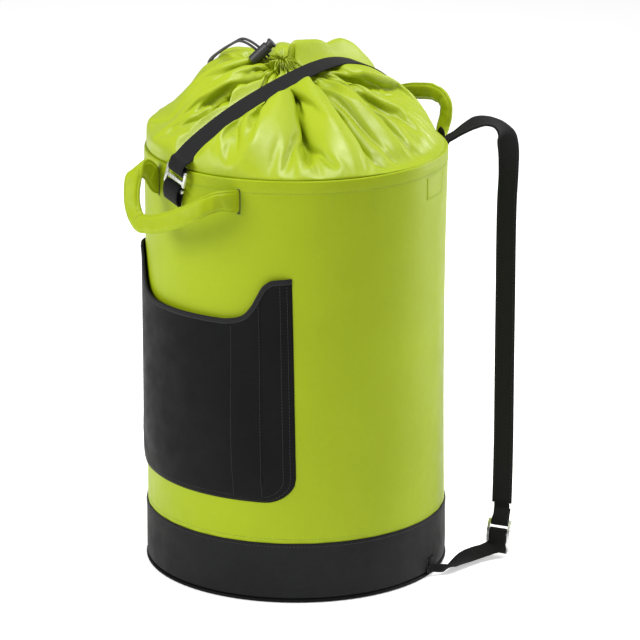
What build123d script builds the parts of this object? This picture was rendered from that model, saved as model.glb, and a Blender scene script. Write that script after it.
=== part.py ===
from build123d import *
import os
from math import sin, cos, tan, atan2, radians, degrees, pi, sqrt, hypot

os.makedirs("parts", exist_ok=True)

# ---------------------------------------------------------------- driving dimensions, mm
R_OUT = 175.0            # outside radius of the bag wall
RIM_Z = 498.0            # height of the rim
SEAM_Z = 72.0            # top of the black base band
WALL_T = 1.6             # tarpaulin wall
BAND_T = 2.0             # base band, doubled tarpaulin
PIPE_D = 4.4             # welt cord round the foot
BOARD_T = 3.0            # base board
STIFF_T = 1.6            # stiffener sheet in the wall
LINER_T = 0.8            # lining
HEM_H = 12.5             # depth of the rim hem
SLIT_LO, SLIT_HI = 459.0, 486.0   # handle slits in the wall
FRONT_HANDLE_PHI = -87.25         # bearing of the front handle's centre, degrees
REAR_HANDLE_PHI = 90.0
SLIT_A = 62.0            # half distance between a handle's two slits
PIVOT_B, PIVOT_Z = 182.0, 474.0   # a handle's hinge line: out from the axis, height
GRIP_R = 10.0            # handle sleeve, outside radius
CORE_R = 6.4             # padded core
WEB_W, WEB_T = 25.0, 1.6          # closing strap and strap sleeve webbing
LOW_W, LOW_T = 20.0, 1.5          # lower webbing of the shoulder straps
SLEEVE_T = 2.6           # doubled webbing of the shoulder strap
MOUTH = (-38.0, 14.3)    # gathered mouth of the collar
CORD_D = 3.0             # drawcord
POCKET_R = 180.2         # inside radius of the pocket panel
POCKET_T = 1.6
LOCK = Vector(-49.7, -5.9, 599.0)           # where the cords cross the cord lock
LOCK_AXIS = Vector(0.506, 0.506, 0.698)     # barrel axis, towards the button
CORD_DIR = Vector(-0.50, -0.486, 0.717)     # the cords leave the lock this way


def finish(part, name):
    part.label = name
    export_step(part, "parts/" + name + ".step")
    print(f"{name:26s} volume {part.volume:12.2f}  solids {len(part.solids())}  valid {part.is_valid}")


def revolved(points):
    """closed outline in the X-Z half plane turned about the bag's axis"""
    with BuildPart() as p:
        with BuildSketch(Plane.XZ):
            with BuildLine():
                Polyline(*points, close=True)
            make_face()
        revolve(axis=Axis.Z)
    return p


def ribbon(stations, width, thick):
    """flat webbing through (centre, width direction) stations"""
    n = len(stations)
    cs = [Vector(*s[0]) for s in stations]
    with BuildPart() as p:
        for i in range(n):
            if i == 0:
                t = cs[1] - cs[0]
            elif i == n - 1:
                t = cs[-1] - cs[-2]
            else:
                t = (cs[i + 1] - cs[i]).normalized() + (cs[i] - cs[i - 1]).normalized()
            t = t.normalized()
            w = Vector(*stations[i][1])
            w = (w - t * w.dot(t)).normalized()
            with BuildSketch(Plane(origin=cs[i], x_dir=w, z_dir=t)):
                Rectangle(width, thick)
        loft(ruled=True)
    return p


def corner_radii(pts, share=0.45, at_least=0.0):
    out = []
    for i in range(1, len(pts) - 1):
        a, b, c = Vector(*pts[i - 1]), Vector(*pts[i]), Vector(*pts[i + 1])
        turn = radians((b - a).get_angle(c - b))
        r = share * min((b - a).length, (c - b).length) / tan(turn / 2)
        out.append(max(r, at_least))
    return out


def tube(pts, r_out, r_in=0.0, share=0.45):
    """round tube or rod along straight runs joined by tangent arcs"""
    radii = corner_radii(pts, share)
    a, b = Vector(*pts[0]), Vector(*pts[1])
    with BuildPart() as p:
        with BuildLine() as path:
            FilletPolyline(*[Vector(*q) for q in pts], radius=radii)
        with BuildSketch(Plane(origin=a, z_dir=(b - a).normalized())):
            Circle(r_out)
            if r_in > 0:
                Circle(r_in, mode=Mode.SUBTRACT)
        sweep(path=path.wires()[0], transition=Transition.RIGHT)
    return p, path.wires()[0].length, radii


def local(phi_deg, a, b, z):
    """point given by tangential offset a, distance out b and height z on the bearing phi"""
    f = radians(phi_deg)
    return Vector(b * cos(f) - a * sin(f), b * sin(f) + a * cos(f), z)


def ring_z(r_in, r_out, z0, z1):
    with BuildPart() as p:
        with BuildSketch(Plane.XY.offset(z0)):
            Circle(r_out)
            Circle(r_in, mode=Mode.SUBTRACT)
        extrude(amount=z1 - z0)
    return p


# ---------------------------------------------------------------- foot and wall
R_IN = R_OUT - WALL_T
with BuildPart() as base_panel:
    with BuildSketch(Plane.XY):
        Circle(172.6)
    extrude(amount=1.6)
finish(base_panel.part, "base_panel")

with BuildPart() as base_piping:
    with BuildSketch(Plane.XZ):
        with Locations((R_OUT + 0.3, PIPE_D / 2)):
            Circle(PIPE_D / 2)
    revolve(axis=Axis.Z)
finish(base_piping.part, "base_piping")

with BuildPart() as base_board:
    with BuildSketch(Plane.XY.offset(2.0)):
        Circle(167.4)
    extrude(amount=BOARD_T)
    chamfer(base_board.edges().filter_by(GeomType.CIRCLE), 0.6)
finish(base_board.part, "base_board")

base_band = revolved([(R_IN, 4.9), (R_IN + BAND_T + 0.2, 4.9), (R_IN + BAND_T + 0.2, SEAM_Z - 1.0),
                      (R_IN + BAND_T - 0.4, SEAM_Z - 0.1), (R_IN, SEAM_Z - 0.1)])
finish(base_band.part, "base_band")

# the wall, with two upright slits for each handle
with BuildPart() as wall_shell:
    with BuildSketch(Plane.XY.offset(SEAM_Z + 0.3)):
        Circle(R_OUT)
        Circle(R_IN, mode=Mode.SUBTRACT)
    extrude(amount=RIM_Z - SEAM_Z - 0.8)
    for phi in (FRONT_HANDLE_PHI, REAR_HANDLE_PHI):
        for s in (-1, 1):
            org = local(phi, s * SLIT_A, 165.0, (SLIT_LO + SLIT_HI) / 2)
            out = local(phi, 0, 1, 0)
            with BuildSketch(Plane(origin=org - out * 12, x_dir=local(phi, 1, 0, 0), z_dir=out)):
                Rectangle(3.4, SLIT_HI - SLIT_LO)
            extrude(amount=24, mode=Mode.SUBTRACT)
finish(wall_shell.part, "wall_shell")

# folded hem: a channel open at the bottom, with the stiff hoop inside it
HEM_TOP = RIM_Z - 0.5
rim_hem = revolved([(168.4, HEM_TOP - HEM_H), (169.4, HEM_TOP - HEM_H), (169.4, HEM_TOP - 1.0), (172.2, HEM_TOP - 1.0),
                    (172.2, HEM_TOP - HEM_H), (173.2, HEM_TOP - HEM_H), (173.2, HEM_TOP), (168.4, HEM_TOP)])
finish(rim_hem.part, "rim_hem")
rim_hoop = ring_z(169.7, 171.9, HEM_TOP - 10.5, HEM_TOP - 1.3)
finish(rim_hoop.part, "rim_hoop")

wall_stiffener = ring_z(169.2, 169.2 + STIFF_T, 5.6, HEM_TOP - HEM_H - 0.5)
finish(wall_stiffener.part, "wall_stiffener")

wall_liner = revolved([(0, 5.4), (168.8, 5.4), (168.8, HEM_TOP - HEM_H - 0.5), (168.0, HEM_TOP - HEM_H - 0.5),
                       (168.0, 5.4 + LINER_T), (0, 5.4 + LINER_T)])
finish(wall_liner.part, "wall_liner")


# rope end loops: upright U of webbing standing off the lining
def rope_loop(phi, z):
    out = local(phi, 0, 1, 0)
    tan_ = local(phi, 1, 0, 0)
    depth, height, t = 13.0, 34.0, 1.6
    base = 167.2
    with BuildPart() as p:
        with BuildSketch(Plane(origin=local(phi, 0, 0, z), x_dir=-out, z_dir=tan_)):
            with BuildLine():
                Polyline((-base, -height / 2), (-base + 1.8, -height / 2), (-base + depth, -height / 2 + 9),
                         (-base + depth, height / 2 - 9), (-base + 1.8, height / 2), (-base, height / 2),
                         (-base, height / 2 - 2.4), (-base + depth - t, height / 2 - 10.2),
                         (-base + depth - t, -height / 2 + 10.2), (-base, -height / 2 + 2.4), close=True)
            make_face()
        extrude(amount=10, both=True)
    return p


rope_loop_top = rope_loop(180, 440)
finish(rope_loop_top.part, "rope_loop_top")
rope_loop_bottom = rope_loop(180, 40)
finish(rope_loop_bottom.part, "rope_loop_bottom")

# ---------------------------------------------------------------- closing strap line over the collar: (x, y, z)
STRAP = [(-5.0, -178.5, 508.0), (-4.2, -174.5, 512.6), (-7.0, -157.0, 521.0), (-7.4, -119.1, 538.3), (-5.6, -76.5, 554.8),
         (-4.1, -41.2, 565.4), (-2.5, -2.5, 575.2), (-0.7, 39.7, 583.4), (0.4, 64.9, 584.9), (1.6, 95.2, 579.6),
         (2.7, 121.0, 568.0), (3.8, 146.0, 549.0), (4.6, 166.0, 525.0), (5.0, 176.0, 506.0), (5.2, 177.4, 492.0),
         (5.2, 177.4, 452.0)]

# ---------------------------------------------------------------- collar: gathered dome with a groove under the strap
OUTER = [(174.0, 498.6), (174.4, 514.0), (171.0, 532.0), (160.0, 551.0), (142.0, 568.0), (120.0, 582.0), (95.0, 592.5),
         (65.0, 599.5), (35.0, 602.0), (0.0, 602.5)]
COLLAR_T = 3.0
PIT, PIT_R, PIT_Z = (-44.0, 6.0), 34.0, 577.0     # sunk middle that the gathers run into


def dome(shrink):
    pts = [(r - shrink if r > 1 else 0.0, z - (shrink if r < 160 else 0.0)) for r, z in OUTER]
    return [(0.0, 498.6 - shrink * 0.2)] + [(pts[0][0], 498.6 - shrink * 0.2)] + pts[1:]


def groove(drop, half):
    pts = [(y, z - drop - (4.4 if y < -150 else 1.5 if y < -110 else 0.0)) for x, y, z in STRAP if z > 503]
    pts = [(-200.0, pts[0][1] - 2.0)] + pts + [(200.0, pts[-1][1] - 14.0)]
    outline = pts + [(200.0, 700.0), (-200.0, 700.0)]
    with BuildPart() as p:
        with BuildSketch(Plane.YZ.offset(-2.8)):
            with BuildLine():
                Polyline(*outline, close=True)
            make_face()
        extrude(amount=half, both=True)
    return p.part


strap_groove = groove(2.3, 21.0)
strap_groove_in = groove(2.3 + COLLAR_T, 21.0 + COLLAR_T)
with BuildPart() as collar:
    with BuildSketch(Plane.XZ):
        with BuildLine():
            Polyline(*dome(0.0), close=True)
        make_face()
    revolve(axis=Axis.Z)
    add(strap_groove, mode=Mode.SUBTRACT)
    with BuildSketch(Plane.XY.offset(PIT_Z)):
        with Locations(PIT):
            Circle(PIT_R)
    extrude(amount=60, mode=Mode.SUBTRACT)
with BuildPart() as collar_hollow:
    with BuildSketch(Plane.XZ):
        with BuildLine():
            Polyline(*dome(COLLAR_T), close=True)
        make_face()
    revolve(axis=Axis.Z)
    add(strap_groove_in, mode=Mode.SUBTRACT)
    with BuildSketch(Plane.XY.offset(PIT_Z - COLLAR_T)):
        with Locations(PIT):
            Circle(PIT_R + COLLAR_T)
    extrude(amount=60, mode=Mode.SUBTRACT)
with BuildPart() as collar_shell:
    add(collar.part)
    add(collar_hollow.part, mode=Mode.SUBTRACT)
    with BuildSketch(Plane.XY.offset(540)):
        with Locations(MOUTH):
            Circle(13.4)
    extrude(amount=90, mode=Mode.SUBTRACT)
finish(collar_shell.part, "collar")

with BuildPart() as collar_hem:
    with BuildSketch(Plane.XY.offset(569)):
        with Locations(MOUTH):
            Circle(12.8)
            Circle(9.0, mode=Mode.SUBTRACT)
    extrude(amount=17)
    fillet(collar_hem.edges().filter_by(GeomType.CIRCLE), 1.2)
finish(collar_hem.part, "collar_hem")

with BuildPart() as drawcord_ring:
    with BuildSketch(Plane(origin=(MOUTH[0], MOUTH[1], 584.6), x_dir=(1, 0, 0), z_dir=(0, -1, 0))):
        with Locations((14.8, 0)):
            Circle(CORD_D / 2)
    revolve(axis=Axis((MOUTH[0], MOUTH[1], 584.6), (0, 0, 1)))
finish(drawcord_ring.part, "drawcord_ring")

# ---------------------------------------------------------------- drawcord tails: two strands side by side
# one route for the pair; each strand stands half the pitch to its own side
HANG = [(-96.0, -13.5, 601.0), (-122.0, -7.0, 586.5), (-146.0, 4.0, 573.5), (-163.0, 18.0, 558.5),
        (-174.0, 31.0, 538.0), (-179.5, 42.5, 511.0), (-177.5, 47.0, 478.0), (-173.0, 52.0, 440.0),
        (-171.2, 57.0, 398.0), (-173.5, 55.0, 352.0), (-171.5, 58.5, 306.0), (-173.5, 56.0, 262.0), (-172.5, 58.0, 222.0)]
PITCH = 4.4


def strand(side):
    pts = [LOCK - CORD_DIR.normalized() * 10.0, LOCK + CORD_DIR.normalized() * 26.0] + [Vector(*q) for q in HANG]
    ax = LOCK_AXIS.normalized()
    ax = (ax - CORD_DIR.normalized() * ax.dot(CORD_DIR.normalized())).normalized()
    out = []
    n = len(pts)
    for i, q in enumerate(pts):
        if i <= 1:
            off = ax
        else:
            t = (pts[min(i + 1, n - 1)] - pts[i - 1]).normalized()
            radial = Vector(q.X, q.Y, 90.0 if q.Z > 540 else 0.0).normalized()
            off = t.cross(radial).normalized()
            if off.dot(Vector(0.5, 0.8, 0.2)) < 0:
                off = -off
        out.append(q + off * (side * PITCH / 2))
    return [(round(v.X, 2), round(v.Y, 2), round(v.Z, 2)) for v in out]


for name, side in (("drawcord_tail_a", 1), ("drawcord_tail_b", -1)):
    route = strand(side)
    cord, length, radii = tube(route, CORD_D / 2)
    print(name, "length %.1f" % length, "radii", [round(r, 1) for r in radii])
    print(name, "section x length %.1f" % (pi * CORD_D ** 2 / 4 * length))
    print(name, "route", route)
    finish(cord.part, name)
end_a, end_b = Vector(*strand(1)[-1]), Vector(*strand(-1)[-1])
mid_end = (end_a + end_b) * 0.5
with BuildPart() as drawcord_knot:
    with BuildSketch(Plane(origin=mid_end - Vector(0, 0, 17.3), x_dir=(1, 0, 0), z_dir=(0, 1, 0))):
        with BuildLine():
            Polyline((0, 0), (2.6, -0.0), (5.0, -3.2), (5.4, -7.0), (5.0, -11.0), (3.6, -15.0), (3.2, -16.85), (0, -16.85), close=True)
        make_face()
    revolve(axis=Axis(mid_end, (0, 0, 1)))
finish(drawcord_knot.part, "drawcord_knot")

# ---------------------------------------------------------------- cord lock
ax = LOCK_AXIS.normalized()
cd = CORD_DIR.normalized()
cd = (cd - ax * cd.dot(ax)).normalized()


def lock_plane(s):
    return Plane(origin=LOCK + ax * s, x_dir=cd, z_dir=ax)


with BuildPart() as cord_lock_barrel:
    with BuildSketch(lock_plane(-15.0)):
        Circle(6.8)
    extrude(amount=24.5)
    with BuildSketch(lock_plane(-13.5)):
        Circle(5.2)
    extrude(amount=30, mode=Mode.SUBTRACT)
    with BuildSketch(Plane(origin=LOCK - cd * 12, x_dir=ax, z_dir=cd)):
        SlotOverall(9.2, 4.6)
    extrude(amount=24, mode=Mode.SUBTRACT)
    fillet(cord_lock_barrel.edges().group_by(SortBy.LENGTH)[-1], 0.5)
finish(cord_lock_barrel.part, "cord_lock_barrel")

with BuildPart() as cord_lock_plunger:
    with BuildSketch(lock_plane(-6.6)):
        Circle(4.85)
    extrude(amount=20.4)
    with BuildSketch(lock_plane(13.8)):
        Circle(6.2)
    extrude(amount=3.2)
    with BuildSketch(Plane(origin=LOCK + ax * 2.0 - cd * 12, x_dir=ax, z_dir=cd)):
        SlotOverall(13.0, 4.6)
    extrude(amount=24, mode=Mode.SUBTRACT)
    fillet(cord_lock_plunger.edges().filter_by(GeomType.CIRCLE).group_by(lambda e: (e.center() - LOCK).dot(ax))[-1], 0.8)
finish(cord_lock_plunger.part, "cord_lock_plunger")

with BuildPart() as cord_lock_spring:
    with BuildLine() as coil:
        Helix(pitch=1.9, height=5.7, radius=3.6, center=LOCK + ax * -13.0, direction=ax)
    with BuildSketch(Plane(origin=coil.line @ 0, z_dir=coil.line % 0)):
        Circle(0.35)
    sweep(path=coil.line, is_frenet=True)
finish(cord_lock_spring.part, "cord_lock_spring")

# ---------------------------------------------------------------- hook buckle on the strap's front end
HOOK_O = Vector(-10.2, -182.2, 486.0)        # centre of the hook's plate
HOOK_OUT = local(-93.2, 0, 1, 0)
HOOK_TAN = local(-93.2, 1, 0, 0)
TILT = radians(-17.0)
HOOK_X = (HOOK_TAN * cos(TILT) + Vector(0, 0, 1) * sin(TILT)).normalized()
HOOK_Y = HOOK_OUT.cross(HOOK_X).normalized()
HOOK_PLANE = Plane(origin=HOOK_O, x_dir=HOOK_X, z_dir=HOOK_OUT)


def hook_pt(u, v, w=0.0):
    return HOOK_O + HOOK_PLANE.x_dir * u + HOOK_PLANE.y_dir * v + HOOK_PLANE.z_dir * w


with BuildPart() as hook_buckle:
    with BuildSketch(HOOK_PLANE.offset(-1.5)):
        with Locations((0, 3.15)):
            RectangleRounded(34.0, 26.7, 3.6)
        with Locations((0, 8.35)):
            RectangleRounded(26.6, 7.1, 1.2, mode=Mode.SUBTRACT)
        with Locations((0, -2.75)):
            RectangleRounded(26.6, 6.3, 1.2, mode=Mode.SUBTRACT)
        with Locations((15.6, -3.6)):
            Rectangle(6.0, 3.4, mode=Mode.SUBTRACT)
    extrude(amount=3.0)
    chamfer(hook_buckle.faces().filter_by(lambda f: abs(f.normal_at().dot(HOOK_PLANE.z_dir)) > 0.99).edges(), 0.45)
finish(hook_buckle.part, "hook_buckle")

# strap end folded round the hook's top bar, then over the collar to the rear of the wall
BAR = hook_pt(0, 14.3, 0)
fold_path = [
    (BAR + HOOK_PLANE.z_dir * -3.3 + HOOK_PLANE.y_dir * 4.6, HOOK_PLANE.x_dir),
    (BAR + HOOK_PLANE.z_dir * -3.3 + HOOK_PLANE.y_dir * 0.0, HOOK_PLANE.x_dir),
    (BAR + HOOK_PLANE.z_dir * -3.0 + HOOK_PLANE.y_dir * -3.1, HOOK_PLANE.x_dir),
    (BAR + HOOK_PLANE.z_dir * 0.0 + HOOK_PLANE.y_dir * -4.3, HOOK_PLANE.x_dir),
    (BAR + HOOK_PLANE.z_dir * 3.0 + HOOK_PLANE.y_dir * -3.1, HOOK_PLANE.x_dir),
    (BAR + HOOK_PLANE.z_dir * 3.3 + HOOK_PLANE.y_dir * 0.0, HOOK_PLANE.x_dir),
    (BAR + HOOK_PLANE.z_dir * 3.2 + HOOK_PLANE.y_dir * 5.0, HOOK_PLANE.x_dir),
    (BAR + HOOK_PLANE.z_dir * 1.2 + HOOK_PLANE.y_dir * 9.6, HOOK_PLANE.x_dir),
]
stations = [(tuple(c), tuple(w)) for c, w in fold_path]
n_s = len(STRAP)
for i, q in enumerate(STRAP):
    k = min(1.0, max(0.0, (i - 0) / 3.0))
    w = HOOK_PLANE.x_dir * (1 - k) + Vector(1, 0.03, 0) * k
    if i == 0:
        continue
    stations.append((q, tuple(w)))
closing_strap = ribbon(stations, WEB_W, WEB_T)
finish(closing_strap.part, "closing_strap")

# webbing loop sewn to the wall, folded over the hook's lower bar
LB = hook_pt(0, -8.05, 0)
loop_path = [
    (LB + HOOK_PLANE.z_dir * -3.6 + HOOK_PLANE.y_dir * -20.5, HOOK_PLANE.x_dir),
    (LB + HOOK_PLANE.z_dir * 2.6 + HOOK_PLANE.y_dir * -11.0, HOOK_PLANE.x_dir),
    (LB + HOOK_PLANE.z_dir * 4.4 + HOOK_PLANE.y_dir * 0.0, HOOK_PLANE.x_dir),
    (LB + HOOK_PLANE.z_dir * 3.4 + HOOK_PLANE.y_dir * 3.6, HOOK_PLANE.x_dir),
    (LB + HOOK_PLANE.z_dir * 0.0 + HOOK_PLANE.y_dir * 5.0, HOOK_PLANE.x_dir),
    (LB + HOOK_PLANE.z_dir * -3.4 + HOOK_PLANE.y_dir * 3.6, HOOK_PLANE.x_dir),
    (LB + HOOK_PLANE.z_dir * -4.5 + HOOK_PLANE.y_dir * 0.0, HOOK_PLANE.x_dir),
    (LB + HOOK_PLANE.z_dir * -5.5 + HOOK_PLANE.y_dir * -20.5, HOOK_PLANE.x_dir),
]
hook_loop = ribbon([(tuple(c), tuple(w)) for c, w in loop_path], WEB_W, 1.4)
finish(hook_loop.part, "hook_loop")

# ---------------------------------------------------------------- handles
# (a, b, z): tangential, outward, height
FRONT_GRIP = [(62.0, 196.0, 474.0), (61.0, 207.0, 471.0), (49.0, 215.5, 462.5), (27.0, 218.5, 452.5), (0.0, 219.5, 448.0),
              (-27.0, 218.5, 452.5), (-49.0, 215.5, 462.5), (-61.0, 207.0, 471.0), (-62.0, 196.0, 474.0)]
REAR_GRIP = [(62.0, 187.2, 487.0), (59.0, 193.5, 499.5), (49.0, 197.5, 515.0), (27.0, 200.5, 525.5), (0.0, 201.5, 529.0),
             (-27.0, 200.5, 525.5), (-49.0, 197.5, 515.0), (-59.0, 193.5, 499.5), (-62.0, 187.2, 487.0)]


def handle(tag, phi, grip):
    pts = [tuple(local(phi, *q)) for q in grip]
    sleeve, length, radii = tube(pts, GRIP_R, CORE_R + 0.3)
    print(tag, "grip length %.1f" % length, "radii", [round(r, 1) for r in radii])
    # each end closes to a narrow neck that turns on the hinge line
    with BuildPart() as whole:
        add(sleeve.part)
        for s, q0, q1 in ((1, grip[0], grip[1]), (-1, grip[-1], grip[-2])):
            piv = local(phi, s * SLIT_A, PIVOT_B, PIVOT_Z)
            end = local(phi, *q0)
            d = (local(phi, *q1) - end).normalized()
            with BuildSketch(Plane(origin=end, z_dir=d)):
                Circle(GRIP_R)
            extrude(amount=3.0)
            with BuildSketch(Plane(origin=piv, z_dir=(end - piv).normalized())):
                Circle(3.6)
            extrude(amount=(end - piv).length + 1.0)
            with Locations(piv):
                Sphere(3.9)
    finish(whole.part, tag + "_grip")
    # core: same line, ends short of the closed ends
    filling = tube(pts, CORE_R)[0]
    with BuildPart() as core:
        add(filling.part)
        for q0, q1 in ((grip[0], grip[1]), (grip[-1], grip[-2])):
            end = local(phi, *q0)
            d = (local(phi, *q1) - end).normalized()
            with BuildSketch(Plane(origin=end - d * 4, z_dir=d)):
                Circle(GRIP_R + 2)
            extrude(amount=7.4, mode=Mode.SUBTRACT)
    finish(core.part, tag + "_core")
    # tabs: upright tarpaulin tongues through the slits, with a flange sewn behind the wall
    for side, s in (("left", -1), ("right", 1)):
        with BuildPart() as tab:
            with BuildSketch(Plane(origin=local(phi, s * SLIT_A, 0, PIVOT_Z), x_dir=local(phi, 0, 1, 0), z_dir=local(phi, -1, 0, 0))):
                with BuildLine():
                    Polyline((161.2, -14.0), (173.0, -14.0), (177.4, -8.0), (177.4, 7.0), (173.0, 10.5), (161.2, 10.5), close=True)
                make_face()
            extrude(amount=1.2, both=True)
            f0 = degrees(atan2(s * SLIT_A, sqrt(172.0 ** 2 - SLIT_A ** 2)))
            span = 9.0 * s
            with BuildSketch(Plane.XY.offset(PIVOT_Z - 13.9)):
                with BuildLine():
                    pa = arc_pts(171.2, phi + f0 - 0.4 * s, phi + f0 + span)
                    pb = arc_pts(172.9, phi + f0 + span, phi + f0 - 0.4 * s)
                    Polyline(*(pa + pb), close=True)
                make_face()
            extrude(amount=24.3)
        finish(tab.part, tag + "_tab_" + side)


def arc_pts(r, d0, d1, n=6):
    return [(r * cos(radians(d0 + (d1 - d0) * i / n)), r * sin(radians(d0 + (d1 - d0) * i / n))) for i in range(n + 1)]


handle("front_handle", FRONT_HANDLE_PHI, FRONT_GRIP)
handle("rear_handle", REAR_HANDLE_PHI, REAR_GRIP)

# ---------------------------------------------------------------- front pocket
HALF = 124.5             # half width seen from the front
POCKET_TOP = [(HALF, 384.5), (112.0, 383.5), (102.5, 377.5), (96.5, 365.5), (89.5, 351.5), (80.0, 340.5), (69.0, 336.5), (54.0, 334.5)]
POCKET_BOTTOM_Z = 120.0


def pocket_outline(grow=0.0):
    right = POCKET_TOP
    left = [(-x, z) for x, z in reversed(right)]
    r = 30.0
    low = []
    for k in range(7):
        a_ = radians(90.0 * k / 6)
        low.append((-HALF + r - r * cos(a_), POCKET_BOTTOM_Z + r - r * sin(a_)))
    lowr = [(-x, z) for x, z in reversed(low)]
    return right + left + low + lowr


with BuildPart() as pocket_panel:
    with BuildSketch(Plane.XZ):
        with BuildLine():
            Polyline(*pocket_outline(), close=True)
        make_face()
    extrude(amount=230)
    with BuildSketch(Plane.XY.offset(100)):
        Circle(POCKET_R + POCKET_T)
        Circle(R_OUT + 0.35, mode=Mode.SUBTRACT)
    extrude(amount=320, mode=Mode.INTERSECT)
# the room inside it, leaving side seams and a bottom seam
r = 24.0
h2 = HALF - 3.4
low = []
for k in range(7):
    a_ = radians(90.0 * k / 6)
    low.append((-h2 + r - r * cos(a_), POCKET_BOTTOM_Z + 3.0 + r - r * sin(a_)))
lowr = [(-x, z) for x, z in reversed(low)]
with BuildPart() as pocket_room:
    with BuildSketch(Plane.XZ):
        with BuildLine():
            Polyline(*([(h2, 420.0), (-h2, 420.0)] + low + lowr), close=True)
        make_face()
    extrude(amount=230)
    with BuildSketch(Plane.XY.offset(90)):
        Circle(POCKET_R)
        Circle(R_OUT - 4, mode=Mode.SUBTRACT)
    extrude(amount=340, mode=Mode.INTERSECT)
with BuildPart() as pocket:
    add(pocket_panel.part)
    add(pocket_room.part, mode=Mode.SUBTRACT)
finish(pocket.part, "pocket_panel")


def on_pocket(outline, r0, r1):
    with BuildPart() as p:
        with BuildSketch(Plane.XZ):
            with BuildLine():
                Polyline(*outline, close=True)
            make_face()
        extrude(amount=230)
        with BuildSketch(Plane.XY.offset(90)):
            Circle(r1)
            Circle(r0, mode=Mode.SUBTRACT)
        extrude(amount=340, mode=Mode.INTERSECT)
    return p


edge = POCKET_TOP + [(-x, z) for x, z in reversed(POCKET_TOP)]
lower = []
for i, (x, z) in enumerate(edge):
    a_, b_ = edge[max(i - 1, 0)], edge[min(i + 1, len(edge) - 1)]
    tx, tz = b_[0] - a_[0], b_[1] - a_[1]
    m = hypot(tx, tz)
    nx, nz = -tz / m, tx / m
    if nz > 0:
        nx, nz = -nx, -nz
    lower.append((x + nx * 7.0 if 0 < i < len(edge) - 1 else x, z + nz * 7.0))
binding = on_pocket(edge + list(reversed(lower)), POCKET_R + POCKET_T + 0.25, POCKET_R + POCKET_T + 1.15)
finish(binding.part, "pocket_binding")

strip = on_pocket([(65.5, 124.0), (99.0, 126.0), (99.0, 352.0), (95.5, 345.2), (84.5, 332.8), (71.0, 327.6), (65.5, 326.6)], POCKET_R + POCKET_T + 0.25, POCKET_R + POCKET_T + 0.95)
finish(strip.part, "pocket_strip")

# ---------------------------------------------------------------- shoulder straps (right one; the left is its mirror image)
UPPER = [((83.6, 165.8, 488.6), (-0.70, 0.66, 0.10)), ((90.0, 172.0, 494.0), (-0.70, 0.68, 0.12)), ((98.3, 180.3, 502.1), (-0.66, 0.70, 0.24)),
         ((107.1, 187.7, 508.6), (-0.55, 0.72, 0.35)), ((117.7, 196.9, 510.9), (-0.35, 0.85, 0.15)),
         ((128.5, 205.0, 506.8), (-0.10, 0.95, -0.10)), ((135.9, 209.4, 497.0), (0.30, 0.80, -0.35)),
         ((139.4, 210.2, 482.0), (0.70, 0.62, -0.20)), ((141.4, 209.3, 456.0), (0.92, 0.38, 0.0)),
         ((142.5, 206.2, 418.6), (0.94, 0.33, 0.0)), ((145.6, 202.1, 371.5), (0.94, 0.33, 0.0)), ((149.7, 197.8, 324.5), (0.94, 0.33, 0.0)),
         ((154.5, 192.6, 277.6), (0.94, 0.33, 0.0)), ((159.2, 187.5, 230.5), (0.94, 0.33, 0.0)), ((164.0, 182.4, 183.3), (0.94, 0.33, 0.0)),
         ((168.8, 177.3, 136.0), (0.94, 0.33, 0.0)), ((173.9, 171.0, 88.9), (0.94, 0.33, 0.0)), ((176.0, 168.0, 62.0), (0.94, 0.33, 0.0))]
NARROW = [((176.2, 167.8, 60.4), (0.94, 0.33, 0.0)), ((177.9, 166.6, 48.0), (0.94, 0.33, 0.0)), ((179.3, 165.2, 32.0), (0.94, 0.33, 0.0))]
# adjuster: curved metal ladder, its plate in the strap's plane
BK = Vector(180.0, 162.6, 24.5)
BK_X = Vector(0.94, 0.33, 0.0).normalized()
BK_N = Vector(0.33, -0.94, 0.0).normalized()
BK_N = (BK_N + Vector(0, 0, 0.10)).normalized()
BK = BK + BK_N * 4.4
LOWER = [((183.5, 151.6, 24.0), (0.94, 0.33, 0.0)), ((182.9, 150.6, 17.4), (0.93, 0.34, -0.05)), ((180.0, 147.6, 12.2), (0.90, 0.36, -0.16)),
         ((177.2, 141.0, 9.8), (0.88, 0.26, -0.32)), ((175.2, 129.0, 9.2), (0.86, 0.18, -0.42)),
         ((174.9, 115.0, 9.0), (0.84, 0.10, -0.48)), ((175.6, 101.0, 8.6), (0.86, 0.0, -0.46)), ((177.6, 86.0, 8.0), (0.88, -0.10, -0.40)),
         ((179.6, 75.0, 7.6), (0.86, -0.18, -0.40))]


def mirrored(part):
    return mirror(part, about=Plane.YZ)


upper = ribbon(UPPER, WEB_W, SLEEVE_T)
finish(upper.part, "shoulder_strap_right")
finish(mirrored(upper.part), "shoulder_strap_left")

BKP = Plane(origin=BK, x_dir=BK_X, z_dir=BK_N)
with BuildPart() as adjuster:
    # curved side profile seen along the width, cut to a ladder of three bars
    with BuildSketch(Plane(origin=BK - BKP.x_dir * 14.5, x_dir=BKP.z_dir, z_dir=BKP.x_dir)):
        with BuildLine():
            hh = 19.0
            arc_o = [(5.2 - 0.0145 * (v * v), v) for v in (-hh, -14, -9, -4, 0, 4, 9, 14, hh)]
            arc_i = [(5.2 - 0.0145 * (v * v) - 2.4, v) for v in (hh, 14, 9, 4, 0, -4, -9, -14, -hh)]
            Polyline(*(arc_o + arc_i), close=True)
        make_face()
    extrude(amount=29.0)
    with BuildSketch(BKP.offset(-12)):
        with Locations((0, 10.0)):
            Rectangle(22.4, 10.0)
        with Locations((0, -5.0)):
            Rectangle(22.4, 12.0)
    extrude(amount=30, mode=Mode.SUBTRACT)
finish(adjuster.part, "adjuster_right")
finish(mirrored(adjuster.part), "adjuster_left")

narrow = ribbon(NARROW, LOW_W, LOW_T)
finish(narrow.part, "strap_web_right")
finish(mirrored(narrow.part), "strap_web_left")

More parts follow.
